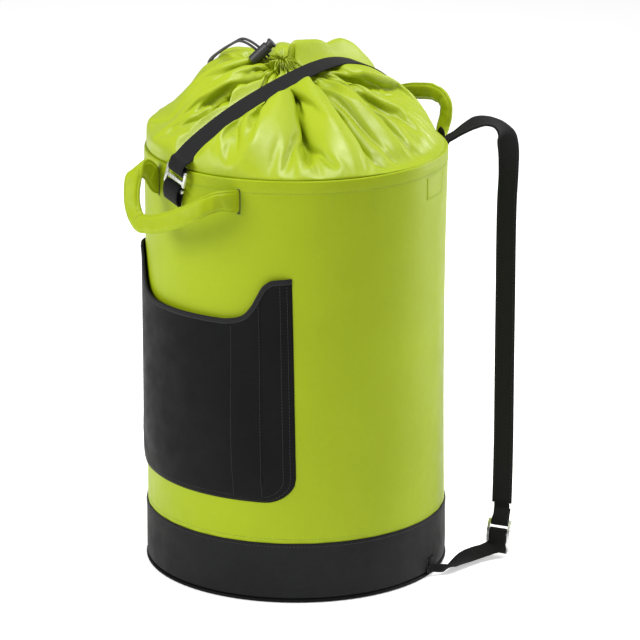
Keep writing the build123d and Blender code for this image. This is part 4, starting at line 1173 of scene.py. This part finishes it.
# the drawcord's two tails: metres, from inside the lock to the knot
ROUTE_A = [(-0.04359, 0.00007, 0.59336), (-0.06158, -0.01742, 0.61917), (-0.09584, -0.01136, 0.60149), (-0.12164, -0.00493, 0.58715),
           (-0.14541, 0.00593, 0.57437), (-0.1623, 0.01989, 0.55939), (-0.17365, 0.03298, 0.5389), (-0.17901, 0.04458, 0.51153),
           (-0.17694, 0.0491, 0.47833), (-0.17237, 0.05409, 0.44031), (-0.17051, 0.05909, 0.39807), (-0.17284, 0.0571, 0.35203),
           (-0.17079, 0.06058, 0.30602), (-0.17282, 0.05809, 0.26198), (-0.1718, 0.06008, 0.22212)]
ROUTE_B = [(-0.04582, -0.00216, 0.5903), (-0.06381, -0.01965, 0.61611), (-0.09616, -0.01564, 0.60051), (-0.12236, -0.00907, 0.58585),
           (-0.14659, 0.00207, 0.57263), (-0.1637, 0.01611, 0.55761), (-0.17435, 0.02902, 0.5371), (-0.17999, 0.04042, 0.51047),
           (-0.17806, 0.0449, 0.47767), (-0.17363, 0.04991, 0.43969), (-0.17189, 0.05491, 0.39793), (-0.17416, 0.0529, 0.35197),
           (-0.17221, 0.05642, 0.30598), (-0.17418, 0.05391, 0.26202), (-0.1732, 0.05592, 0.22188)]
PATH_A, PATH_B = nurbs_path("route_a", ROUTE_A), nurbs_path("route_b", ROUTE_B)

# both tails share one overhand knot, with short sealed ends below it
klo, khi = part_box("drawcord_knot")
kc = (np.array(klo) + np.array(khi)) / 2 / MM
kh = (np.array(khi) - np.array(klo)) / 2 / MM
tq = np.linspace(0, 2 * math.pi, 140)
sc = min(kh[0], kh[1])
knots = []
for i, (off, rad) in enumerate(((0.0, 1.0), (0.52, 0.98))):
    a = tq + off
    big = (sc - 1.7) / 3.0
    tre = np.stack([(2 + np.cos(3 * tq)) * np.cos(2 * a) * big * 0.98, (2 + np.cos(3 * tq)) * np.sin(2 * a) * big * 0.98, np.sin(3 * tq) * (kh[2] - 2.2) * 0.62 + (1.2 if i else -1.2)], -1)
    knots.append(braided_tube(f"drawcord_knot_turn_{i}", kc + tre, 2.9, CORD, closed=True, sides=14, step=0.5))
for i, (px, py) in enumerate(((1.9, 0.5), (-1.9, -0.6))):
    top = kc + vec(px * 0.7, py, -kh[2] * 0.3)
    bot = kc + vec(px * 1.25, py * 1.6, -kh[2] + 0.4)
    midp = (top + bot) / 2 + vec(px * 0.1, 0, 0)
    knots.append(braided_tube(f"drawcord_end_{i}", np.array([top, midp, bot]), 2.9, CORD, sides=14, step=0.5))
for k in knots:
    ride(k, "bag")
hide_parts("drawcord_knot")
for nm, path in (("a", PATH_A), ("b", PATH_B)):
    ob = braided_tube(f"drawcord_tail_{nm}_cord", path, 3.0, CORD)
    ride(ob, "bag")
    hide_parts(f"drawcord_tail_{nm}")
    L = float(np.sum(np.linalg.norm(np.diff(path, axis=0), axis=1))) * MM
    [tuple(p * MM) for p in path]

# ================================================================ collar: coated cloth gathered to the drawcord
MOUTH = vec(-38.0, 14.3, 580.0)
# per direction: how far the cloth rises and stands out at the rim, and how it comes in to the mouth
MER = {-180: (92, 4, 62, 34), -155: (95, 6, 80, 36), -130: (92, 6, 92, 30), -112: (80, 3, 88, 18), -90: (62, 2, 90, 6), -70: (60, 2, 95, 2),
       -45: (62, 3, 105, 6), -20: (60, 2, 112, 10), 0: (58, -2, 115, 14), 25: (62, -6, 115, 18), 45: (66, -10, 112, 24), 70: (84, -4, 96, 40), 90: (104, 0, 66, 52), 112: (100, 0, 60, 42), 140: (92, 2, 52, 34)}
NU, NV, NECK = 300, 56, 49
phc = np.linspace(-180, 180, NU, endpoint=False)
ma, mo, mb, mc = [periodic(phc, {k: v[q] for k, v in MER.items()}) for q in range(4)]
C, Sn = np.cos(phc * D2R), np.sin(phc * D2R)
dirs = np.stack([C, Sn, 0 * C], -1)
P0 = dirs * 172.4 + vec(0, 0, 499.5)
P1 = P0 + dirs * mo[:, None] + vec(0, 0, 1) * ma[:, None]
P3 = MOUTH + dirs * 13.0
P2 = MOUTH + dirs * mb[:, None] + vec(0, 0, 1) * mc[:, None]
ideal = np.zeros((NV, NU, 3))
tt = np.linspace(0, 1, 60)
mer = [P0 * (1 - t)**3 + 3 * P1 * t * (1 - t)**2 + 3 * P2 * t * t * (1 - t) + P3 * t**3 for t in tt]
mer = np.array(mer)
MLEN = np.zeros(NU)
for i in range(NU):
    c = mer[:, i]
    L = np.r_[0, np.cumsum(np.linalg.norm(np.diff(c, axis=0), axis=1))]
    MLEN[i] = L[-1]
    s = np.linspace(0, L[-1], NECK - 1)
    for k in range(3):
        ideal[2:NECK + 1, i, k] = np.interp(s, L, c[:, k])
ideal[0] = dirs * 169.6 + vec(0, 0, 496.9)
ideal[1] = dirs * 171.4 + vec(0, 0, 498.6)
for j in range(NECK + 1, NV):
    q = (j - NECK) / (NV - 1 - NECK)
    ideal[j] = MOUTH + dirs * (13.0 + 7.0 * q) + vec(0, 0, 13.0 * q)


def normals_of(P):
    du = np.roll(P, -1, 1) - np.roll(P, 1, 1)
    dv = np.gradient(P, axis=0)
    n = np.cross(du, dv)
    n /= np.maximum(np.linalg.norm(n, axis=2), 1e-9)[..., None]
    return n


NB = normals_of(ideal)
FOLDS = 20
warp1 = 0.9 * np.sin(2 * phc * D2R + 0.7) + 0.55 * np.sin(3 * phc * D2R + 2.0) + 0.3 * np.sin(5 * phc * D2R + 0.5)
warp2 = 1.2 * np.sin(2 * phc * D2R + 1.9) + 0.8 * np.sin(5 * phc * D2R + 0.2)
pleat = np.sin(FOLDS * phc * D2R + 1.2 * warp1)
pl_amp = 1.0 + 0.22 * np.sin(7 * phc * D2R + 1.1) + 0.15 * np.sin(11 * phc * D2R + 2.3)
CUT = periodic(phc, {-180: 206, -150: 212, -120: 223, -90: 231, -45: 234, 0: 234, 35: 231, 58: 238, 75: 249, 92: 253, 112: 240, 140: 219, 160: 209}) + 2.0
REST_H = np.zeros((NV, NU))
for j in range(1, NV):
    seg = CUT / (NECK - 2) if 2 <= j <= NECK else 2.4
    REST_H[j] = REST_H[j - 1] + seg
Vc = REST_H.mean(1)
# as cut and sewn: an upright tube standing on the rim; as drawn up: its top in close pleats round the cord
tube = np.zeros((NV, NU, 3))
drawn = np.zeros((NV, NU, 3))
for j in range(NV):
    up = max(0.0, j - 2) / (NECK - 2)
    dent = min(1.0, up * 3) * (2.2 * np.sin(13 * phc * D2R + warp2 * 1.5) + 1.2 * np.sin(29 * phc * D2R + warp1))
    r_ = (172.4 + dent) if j > 1 else (169.6 if j == 0 else 171.4)
    z_ = (499.5 + REST_H[j] - REST_H[2]) if j > 1 else (496.9 if j == 0 else 498.6)
    tube[j] = np.stack([r_ * C, r_ * Sn, z_ + 0 * C], -1)
    drawn[j] = tube[j]
    if j >= NECK - 1:
        q = (j - NECK) / (NV - 1 - NECK)
        rho = (13.0 + 4.0 * max(q, 0)) + (8.2 + 1.0 * max(q, 0)) * pleat * np.clip(pl_amp, 0.55, 1.1)
        drawn[j] = MOUTH + dirs * rho[:, None] + vec(0, 0, 1) * (9.5 * q + (1.8 * np.sin(5 * phc * D2R + 1.0) + 1.2 * np.sin(9 * phc * D2R + 2.0)) * max(q, 0))[..., None]
cloth0 = ideal
collar_v, collar_f, collar_uv = grid_data(tube, np.r_[phc, 180] * D2R * 172.5, Vc, closed_u=True)
collar = make("collar_cloth", collar_v, collar_f, LIME_SOFT, collar_uv)


def strap_surface(y):
    ys = [-172, -157, -119.1, -76.5, -41.2, -2.5, 39.7, 64.9, 95.2, 121, 146, 166]
    zs_ = [513.0, 521.0, 538.3, 554.8, 565.4, 575.2, 583.4, 584.9, 579.6, 568, 549, 525]
    xs_ = [-4.5, -7, -7.4, -5.6, -4.1, -2.5, -0.7, 0.4, 1.6, 2.7, 3.8, 4.6]
    return interp1(y, ys, zs_), interp1(y, ys, xs_)


def press_under_strap(co):
    y = np.clip(co[:, 1], -172, 166)
    zs_, xs_ = strap_surface(y)
    dx = np.abs(co[:, 0] - xs_)
    # beyond the crest, on the right, the cloth stays low beside the strap
    far = np.clip((co[:, 1] - 25.0) / 60.0, 0, 1) * (co[:, 0] > xs_)
    reach = 22.0 + 60.0 * far
    near_h = 30.0 * np.clip((dx - 13.5) / 22.0, 0, 1) ** 1.5
    far_h = interp1(np.clip(dx, 0, 96), [0, 13.5, 26, 40, 58, 80, 96], [0, 0, -4.5, -5, 0, 12, 30])
    lim = zs_ - 2.2 + near_h * (1 - far) + far_h * far
    inside = (co[:, 1] > -172) & (co[:, 1] < 171) & (dx < 13.5 + reach)
    over = np.where(inside, co[:, 2] - lim, -1)
    out = co.copy()
    out[:, 2] = np.where(over > 0, co[:, 2] - over, co[:, 2])
    return out


def cloth_area(co):
    g = co.reshape(NV, NU, 3)
    g = np.concatenate([g, g[:, :1]], 1)
    a = np.cross(g[1:, :-1] - g[:-1, :-1], g[:-1, 1:] - g[:-1, :-1])
    return 0.5e-6 * (np.linalg.norm(a, axis=2).sum() + np.linalg.norm(np.cross(g[1:, 1:] - g[:-1, 1:], g[1:, 1:] - g[1:, :-1]), axis=2).sum())


collar.shape_key_add(name="Basis")
key = collar.shape_key_add(name="Drawn")
key.data.foreach_set("co", (drawn.reshape(-1, 3) * MM).astype(np.float32).ravel())
key.value = 0.0
key.keyframe_insert("value", frame=1)
key.value = 1.0
key.keyframe_insert("value", frame=26)
vg = collar.vertex_groups.new(name="pin")
for j in (0, 1, 2):
    vg.add([j * NU + i for i in range(NU)], 1.0, "REPLACE")
for j in range(NECK - 1, NV):
    vg.add([j * NU + i for i in range(NU)], 1.0, "REPLACE")
cm = collar.modifiers.new("Cloth", "CLOTH")
cs = cm.settings
cs.quality = 6
cs.mass = 0.2
cs.tension_stiffness = 40
cs.compression_stiffness = 40
cs.shear_stiffness = 10
cs.bending_stiffness = 4.0
cs.tension_damping = 10
cs.compression_damping = 10
cs.shear_damping = 8
cs.bending_damping = 1.0
cs.air_damping = 3.0
cs.vertex_group_mass = "pin"
cs.use_pressure = True
cs.uniform_pressure_force = 88.0
cs.effector_weights.gravity = 0.3
cm.collision_settings.use_collision = False
cm.collision_settings.use_self_collision = False
cm.point_cache.frame_start = 1
cm.point_cache.frame_end = 38
for f in range(1, 38 + 1):
    scene.frame_set(f)
dg = bpy.context.evaluated_depsgraph_get()
ev = collar.evaluated_get(dg)
co = np.zeros(len(collar.data.vertices) * 3, np.float32)
ev.data.vertices.foreach_get("co", co)
co = co.reshape(-1, 3) / MM
collar.modifiers.clear()
collar.shape_key_clear()
if collar.data.animation_data:
    collar.data.animation_data_clear()
scene.frame_set(1)

co = np.asarray(co, float)


def settle(co):
    """the left shoulder of the gathered cloth has sunk under its own weight"""
    s = -(co[:, 0] + co[:, 1]) / math.sqrt(2)
    d = (-co[:, 0] + co[:, 1]) / math.sqrt(2)
    g = interp1(s, [-200, 50, 80, 106, 124, 147, 160, 170, 178], [0, 0, 4, 12, 22, 33, 30, 15, 5])
    w = np.clip(0.35 + (d + 100.0) / 150.0, 0.35, 1.0)
    h = np.clip((co[:, 2] - 501.0) / 60.0, 0, 1)
    out = co.copy()
    out[:, 2] -= g * w * h
    return out


def draw_in(co):
    """on the right the cloth rises a little inside the rim"""
    s = (co[:, 0] + co[:, 1]) / math.sqrt(2)
    e = np.clip((s - 78.0) / 80.0, 0, 1)
    e = e * e * (3 - 2 * e)
    h = 0.68 * np.clip((co[:, 2] - 499.6) / 5.0, 0, 1) + 0.32 * np.clip((co[:, 2] - 505.0) / 12.0, 0, 1)
    out = co.copy()
    out[:, :2] -= (12.0 * e * h / math.sqrt(2))[:, None]
    e2 = np.clip((s - 62.0) / 34.0, 0, 1)
    out[:, 2] -= 6.5 * e2 * e2 * (3 - 2 * e2) * np.clip((co[:, 2] - 515.0) / 45.0, 0, 1)
    return out


def hollow(co):
    """a broad hollow between two ridges, down the right front of the cloth"""
    ph_ = np.degrees(np.arctan2(co[:, 1], co[:, 0]))
    r_ = np.hypot(co[:, 0], co[:, 1])
    up = np.clip((co[:, 2] - 499.6) / 9.0, 0, 1) * np.clip((r_ - 58.0) / 45.0, 0, 1)
    sig = np.where(ph_ < 2.0, 8.0, 17.0)
    g = 8.0 * np.exp(-(((ph_ - 2.0) / sig) ** 2)) - 4.0 * np.exp(-(((ph_ + 18.0) / 5.5) ** 2))
    out = co.copy()
    out[:, :2] -= co[:, :2] / np.maximum(r_, 1.0)[:, None] * (0.6 * g * up)[:, None]
    # just inside the rim it dips before it rises
    dip = np.clip((co[:, 2] - 499.6) / 2.5, 0, 1) * (1 - np.clip((co[:, 2] - 505.0) / 12.0, 0, 1))
    out[:, 2] -= 0.5 * g * up + 5.5 * dip * np.exp(-(((ph_ - 16.0) / 30.0) ** 4))
    return out


def clear_of(co, path, gap, reach):
    """the cloth gives way under something that lies on it"""
    p = path[::2]
    out = co.copy()
    centre = vec(-20, 20, 480)
    near = np.where((co[:, 0] < -30) & (co[:, 2] > 497.5))[0]
    q = co[near]
    d = np.linalg.norm(q[:, None, :] - p[None], axis=2)
    k = d.argmin(1)
    n = p[k] - centre
    n /= np.linalg.norm(n, axis=1)[:, None]
    r = q - p[k]
    a = np.sum(r * n, axis=1)
    lat = np.linalg.norm(r - n * a[:, None], axis=1)
    lim = -gap + (np.clip(lat - gap, 0, None) ** 2) / (reach * 0.9)
    push = np.where((lat < reach) & (a > lim) & (a < 26), a - lim, 0.0)
    out[near] = q - n * push[:, None]
    return out


co = hollow(draw_in(settle(co)))
LOCK_C, LOCK_AX = vec(-49.7, -5.9, 599.0), unit(vec(0.506, 0.506, 0.698))
lock_line = np.array([LOCK_C + LOCK_AX * t for t in np.linspace(-14, 14, 15)])
co = clear_of(co, (PATH_A + PATH_B) / 2 if len(PATH_A) == len(PATH_B) else PATH_A, 4.6, 14.0)
co = press_under_strap(co)


def relax(co, rounds):
    g = co.reshape(NV, NU, 3)
    for _ in range(rounds):
        a = (np.roll(g, 1, 1) + np.roll(g, -1, 1)) / 2
        b = g.copy()
        b[1:-1] = (g[2:] + g[:-2]) / 2
        n = 0.5 * g + 0.25 * a + 0.25 * b
        n[0], n[1] = g[0], g[1]
        n[-1] = g[-1]
        g = n
    return g.reshape(-1, 3)


co = press_under_strap(relax(co, 1))
co = clear_of(co, PATH_A, 2.1, 8.0)
co = clear_of(co, PATH_B, 2.1, 8.0)
collar.data.vertices.foreach_set("co", (co * MM).astype(np.float32).ravel())
collar.data.update()
mm = collar.modifiers.new("sub", "SUBSURF")
mm.levels = mm.render_levels = 1
evaluated(collar)
solidify(collar, 0.5, 0.0)
ride(collar, "bag")
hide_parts("collar", "collar_hem")
# the cord inside the hem, drawn tight
tr = np.linspace(0, 2 * math.pi, 73)
ring = MOUTH + np.stack([6.0 * np.cos(tr) + 0.5 * np.cos(5 * tr), 6.0 * np.sin(tr) + 0.5 * np.sin(4 * tr), -3.0 + 0.5 * np.sin(3 * tr)], -1)
ob = braided_tube("drawcord_in_hem", ring, 3.0, CORD, closed=True)
ride(ob, "bag")
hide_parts("drawcord_ring")


# ================================================================ shoulder straps, adjusters and lower webbing
UPPER = [((82.4, 158.9, 466.0), (-0.88, 0.48, 0.0)), ((82.4, 158.9, 474.0), (-0.88, 0.48, 0.0)), ((82.6, 160.6, 481.5), (-0.84, 0.53, 0.02)), ((83.6, 165.4, 488.0), (-0.74, 0.62, 0.08)), ((90.0, 172.0, 494.0), (-0.70, 0.68, 0.12)), ((98.3, 180.3, 502.1), (-0.66, 0.70, 0.24)),
         ((107.1, 187.7, 508.6), (-0.55, 0.72, 0.35)), ((117.7, 196.9, 510.9), (-0.35, 0.85, 0.15)),
         ((128.5, 205.0, 506.8), (-0.10, 0.95, -0.10)), ((135.9, 209.4, 497.0), (0.30, 0.80, -0.35)),
         ((139.4, 210.2, 482.0), (0.70, 0.62, -0.20)), ((141.4, 209.3, 456.0), (0.92, 0.38, 0.0)),
         ((142.5, 206.2, 418.6), (0.94, 0.33, 0.0)), ((145.6, 202.1, 371.5), (0.94, 0.33, 0.0)), ((149.7, 197.8, 324.5), (0.94, 0.33, 0.0)),
         ((154.5, 192.6, 277.6), (0.94, 0.33, 0.0)), ((159.2, 187.5, 230.5), (0.94, 0.33, 0.0)), ((164.0, 182.4, 183.3), (0.94, 0.33, 0.0)),
         ((168.8, 177.3, 136.0), (0.94, 0.33, 0.0)), ((173.9, 171.0, 88.9), (0.94, 0.33, 0.0)), ((176.0, 168.0, 62.0), (0.94, 0.33, 0.0))]
BK_N = unit(unit(vec(0.33, -0.94, 0.0)) + vec(0, 0, 0.10))
BK_X = unit(vec(0.94, 0.33, 0.0))
BK = vec(180.0, 162.6, 24.5) + BK_N * 4.4
BK_Y = np.cross(BK_N, BK_X)
WEBUP = [((176.2, 167.8, 62.5), (0.94, 0.33, 0.0)), ((177.9, 166.6, 48.0), (0.94, 0.33, 0.0)), ((179.3, 165.2, 32.0), (0.94, 0.33, 0.0))]
LOWER = [((183.5, 151.6, 24.0), (0.94, 0.33, 0.0)), ((182.9, 150.6, 17.4), (0.93, 0.34, -0.05)), ((180.0, 147.6, 12.2), (0.90, 0.36, -0.16)),
         ((177.2, 141.0, 9.8), (0.88, 0.26, -0.32)), ((175.2, 129.0, 9.2), (0.86, 0.18, -0.42)),
         ((174.9, 115.0, 9.0), (0.84, 0.10, -0.48)), ((175.6, 101.0, 8.6), (0.86, 0.0, -0.46)), ((177.6, 86.0, 8.0), (0.88, -0.10, -0.40)),
         ((179.6, 75.0, 7.6), (0.86, -0.18, -0.40))]


def mir(p, s):
    return (p[0] * s, p[1], p[2])


def edge_stitches(name, fr, half, body, inset=2.4, lo=0.02, hi=0.98, lift=0.0, both=True, blendto=None, n=400, mat=None, **kw):
    c, t, w, nn, L, S = fr
    m = len(c)
    a, b = int(m * lo), int(m * hi)
    obs = []
    for k, sd in enumerate((-1, 1)):
        for q, face in enumerate((1, -1) if both else (1,)):
            pts = c + w * (sd * (half - inset)) + nn * face * (S[:, 7] / 2 + lift)[:, None]
            o = stitches(f"{name}_{k}{q}", pts[a:b], nn[a:b] * face, mat or THREAD_BLACK, pitch=4.0, length=2.9, dia=0.55)
            if blendto:
                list(blendto[:2])
                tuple(blendto[2])
                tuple(blendto[3])
                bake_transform(o)
            else:
                ride(o, body)
            obs.append(o)
    return obs


for side, s in (("right", 1), ("left", -1)):
    body = f"strap_{side}"
    up = []
    for i, (p, w) in enumerate(UPPER):
        wdt = 25.0
        if i <= 4:
            wdt = 22.0
        up.append(st(mir(p, s), mir(w, s), wdt, 2.4))
    sec = tape_section(11, 0.06)
    # the sleeve's edges are folded in: slightly thicker rolls along both edges
    sec = np.array([(a, b * (1 + 0.35 * math.exp(-(((abs(a) - 0.86) / 0.10) ** 2)))) for a, b in sec])
    ob, fr = band(f"shoulder_strap_{side}_sleeve", up, 360, WEB_STRAP, section=sec)
    bl = ("bag", body, (0.082 * s, 0.172, 0.494), (0.100 * s, 0.172, 0.494))
    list(bl[:2])
    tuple(bl[2])
    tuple(bl[3])
    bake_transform(ob)
    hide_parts(f"shoulder_strap_{side}")
    edge_stitches(f"shoulder_strap_{side}_stitches", fr, 12.5, body, blendto=bl, lo=0.03, hi=0.99)
    # narrow web sewn into the sleeve: down in front of the adjuster's upper bar, round it and up again behind
    def lad(u, v, n):
        p = BK + BK_X * u + BK_Y * v + BK_N * n
        return (p[0] * s, p[1], p[2])

    wx = tuple(mir(BK_X, s))
    wst = [st(mir((176.2, 167.8, 66.0), s), wx, 19.6, 1.5), st(mir((176.9, 166.9, 56.0), s), wx, 19.6, 1.5), st(lad(0, 27.0, -2.2), wx, 19.6, 1.5),
           st(lad(0, 22.0, 1.2), wx, 19.6, 1.5), st(lad(0, 17.8, 2.6), wx, 21.2, 1.5), st(lad(0, 14.2, 2.6), wx, 21.2, 1.5), st(lad(0, 12.6, 0.6), wx, 21.2, 1.5),
           st(lad(0, 14.2, -2.0), wx, 19.6, 1.5), st(lad(0, 18.0, -3.0), wx, 19.6, 1.5), st(lad(0, 24.0, -4.6), wx, 19.6, 1.5), st(lad(0, 32.0, -6.6), wx, 19.6, 1.5)]
    ob, fr2 = band(f"strap_web_{side}_webbing", wst, 130, WEB)
    ride(ob, body)
    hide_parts(f"strap_web_{side}")
    # lower web: folded over the adjuster's middle bar, its free end down over the lower bar
    adj = f"adjuster_{side}"
    wrap = [st(lad(0, -9.5, 6.9), wx, 19.6, 1.5), st(lad(0, -2.0, 7.3), wx, 21.2, 1.5), st(lad(0, 4.0, 6.9), wx, 21.2, 1.5), st(lad(0, 8.4, 5.4), wx, 21.2, 1.5),
            st(lad(0, 9.3, 3.4), wx, 21.2, 1.5), st(lad(0, 6.4, 1.5), wx, 20.5, 1.5), st(lad(0, 0.0, 0.6), wx, 19.6, 1.5), st(lad(0, -5.0, 0.9), wx, 19.6, 1.5),
            st(lad(0, -8.5, 2.6), wx, 19.6, 1.5), st(lad(0, -12.0, 4.1), wx, 19.6, 1.5), st(lad(0, -17.0, 3.2), wx, 19.6, 1.5), st(lad(0, -20.6, 0.4), wx, 19.6, 1.5), st(lad(0, -21.0, -3.0), wx, 19.6, 1.5)]
    ob, fr4 = band(f"adjuster_{side}_wrap", wrap, 140, WEB)
    ride(ob, adj)
    q0 = lad(0, -7.0, 7.05)
    low = [st(q0, wx, 19.6, 1.5), st(lad(0, -9.5, 7.3), wx, 19.6, 1.5)]
    low += [st(mir(p, s), mir(w, s), 19.6, 1.5) for p, w in (((180.6, 147.4, 13.2), (0.92, 0.36, -0.12)), ((177.6, 140.0, 10.6), (0.90, 0.28, -0.30)),
            ((175.6, 129.0, 10.0), (0.86, 0.18, -0.42)), ((175.0, 115.0, 9.8), (0.85, 0.10, -0.42)))]
    ob, fr3 = band(f"lower_strap_{side}_webbing", low, 90, WEB)
    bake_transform(ob)
    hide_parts(f"lower_strap_{side}")
    # near the band the web is folded in half along its length and turned on edge
    end_ = [st(mir(p, s), mir(w, s), wd, tk) for p, w, wd, tk in (((175.3, 122.0, 9.9), (0.855, 0.14, -0.42), 19.6, 1.5), ((175.0, 115.0, 9.8), (0.85, 0.10, -0.42), 19.6, 1.5),
            ((175.8, 101.0, 9.0), (0.93, 0.0, -0.28), 18.6, 1.6), ((177.8, 88.0, 8.0), (0.99, -0.10, -0.06), 15.5, 2.0),
            ((179.8, 77.0, 7.2), (0.95, -0.14, 0.22), 12.5, 2.6), ((179.8, 69.0, 7.2), (0.66, -0.08, 0.70), 11.0, 3.0), ((177.6, 61.5, 7.8), (0.24, 0.0, 0.97), 10.4, 3.0),
            ((174.0, 54.6, 9.2), (0.03, 0.0, 1.0), 10.4, 2.8), ((171.3, 46.6, 11.0), (0.0, 0.0, 1.0), 11.0, 2.2))]
    ob, fr5 = band(f"lower_strap_{side}_end", end_, 110, WEB)
    bl2 = ("bag", body, (0.1745 * s, 0.056, 0.013), (0.1785 * s, 0.086, 0.009))
    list(bl2[:2])
    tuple(bl2[2])
    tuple(bl2[3])
    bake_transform(ob)
    # sewn-down square where the web meets the band
    pts, nor = [], []
    for (u0, z0), (u1, z1) in (((-3.4, 6.6), (-3.4, 20.6)), ((-3.4, 20.6), (0.6, 20.6)), ((0.6, 20.6), (0.6, 6.6)), ((0.6, 6.6), (-3.4, 6.6)), ((-3.4, 6.6), (0.6, 20.6))):
        for q in np.linspace(0, 1, 14)[:-1]:
            a_ = 17.0 + (u0 + (u1 - u0) * q)
            a_ = a_ if s > 0 else 180 - a_
            pts.append(cyl(a_, 179.35, z0 + (z1 - z0) * q))
            nor.append(unit(cyl(a_, 1, 0)))
    o = stitches(f"lower_strap_{side}_stitches", np.array(pts), np.array(nor), THREAD_BLACK, pitch=3.0, length=2.3, dia=0.5)
    ride(o, "bag")
    # anchor patch at the rim, rounded at the top, and the base tab
    phi_c = 61.5 if s > 0 else 180 - 61.5
    na, nz_ = 13, 16
    P = np.zeros((nz_, na, 3))
    for j in range(nz_):
        b = j / (nz_ - 1)
        z = 462.0 + 43.0 * b
        hw = 4.2 * math.sqrt(max(0.02, 1 - max(0.0, (b - 0.70) / 0.32) ** 2))
        for i in range(na):
            a = -1 + 2 * i / (na - 1)
            e_ = 0 < i < na - 1 and 0 < j < nz_ - 1
            r = 176.6 + (1.25 if e_ else 0.2)
            P[j, i] = cyl(phi_c + a * hw * s, r, z)
    pt = grid(f"strap_patch_{side}_webbing", P, np.linspace(-12, 12, na), np.linspace(0, 43, nz_), WEB)
    solidify(pt, 1.2, -1.0)
    fix_normals(pt)
    ride(pt, "bag")
    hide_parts(f"strap_patch_{side}")
    path = [(-3.3, 465.0), (3.3, 465.0), (3.3, 490.0), (1.6, 501.0), (-1.6, 501.0), (-3.3, 490.0), (-3.3, 465.0)]
    pts, nor = [], []
    for (p0, z0), (p1, z1) in zip(path[:-1], path[1:]):
        for q in np.linspace(0, 1, 14)[:-1]:
            ph_ = phi_c + (p0 + (p1 - p0) * q) * s
            pts.append(cyl(ph_, 178.05, z0 + (z1 - z0) * q))
            nor.append(unit(cyl(ph_, 1, 0)))
    o = stitches(f"strap_patch_{side}_stitches", np.array(pts), np.array(nor), THREAD_BLACK, pitch=3.0, length=2.3, dia=0.5)
    ride(o, "bag")
    phi_b = 18.0 if s > 0 else 162.0
    P = np.zeros((10, 9, 3))
    for j in range(10):
        b = j / 9
        z = 5.4 + 16.6 * b
        hw = 4.0 * (1 - 0.55 * b)
        for i in range(9):
            a = -1 + i / 4
            e_ = 0 < i < 8 and 0 < j < 9
            P[j, i] = cyl(phi_b + a * hw * s, 177.6 + (0.9 if e_ else 0.1), z)
    tb_ = grid(f"base_tab_{side}_webbing", P, np.linspace(-11, 11, 9), np.linspace(0, 17, 10), WEB)
    solidify(tb_, 1.2, -1.0)
    fix_normals(tb_)
    ride(tb_, "bag")
    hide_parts(f"base_tab_{side}")


# ================================================================ finishes of the CAD pieces that stay
def finish_node(name, mat, smooth=35):
    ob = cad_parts[name]
    ob.data.materials.clear()
    ob.data.materials.append(mat)


for n_, m_ in (("hook_buckle", STEEL), ("adjuster_right", STEEL), ("adjuster_left", STEEL), ("cord_lock_barrel", PLASTIC), ("cord_lock_plunger", PLASTIC),
               ("cord_lock_spring", SPRING), ("rim_hoop", STIFF), ("wall_stiffener", STIFF), ("base_board", STIFF)):
    finish_node(n_, m_)

# ================================================================ floor
v = [(-4, -4, 0), (4, -4, 0), (4, 4, 0), (-4, 4, 0)]
fme = bpy.data.meshes.new("floor")
fme.from_pydata([(a, b, -0.0004) for a, b, c in v], [], [[0, 1, 2, 3]])
floor = bpy.data.objects.new("floor", fme)
scene.collection.objects.link(floor)
FLOOR, nt, b = new_mat("floor")
ob_, uv_ = coords(nt)
nt.links.new(ramp(nt, noise_node(nt, ob_, 3.0, 2, 0.5), [(0.3, (0.93, 0.93, 0.93)), (0.7, (0.95, 0.95, 0.95))]), b.inputs["Base Color"])
b.inputs["Roughness"].default_value = 0.9
b.inputs["Specular IOR Level"].default_value = 0.0
b.inputs["Emission Color"].default_value = (1, 1, 1, 1)
b.inputs["Emission Strength"].default_value = 0.47
fme.materials.append(FLOOR)
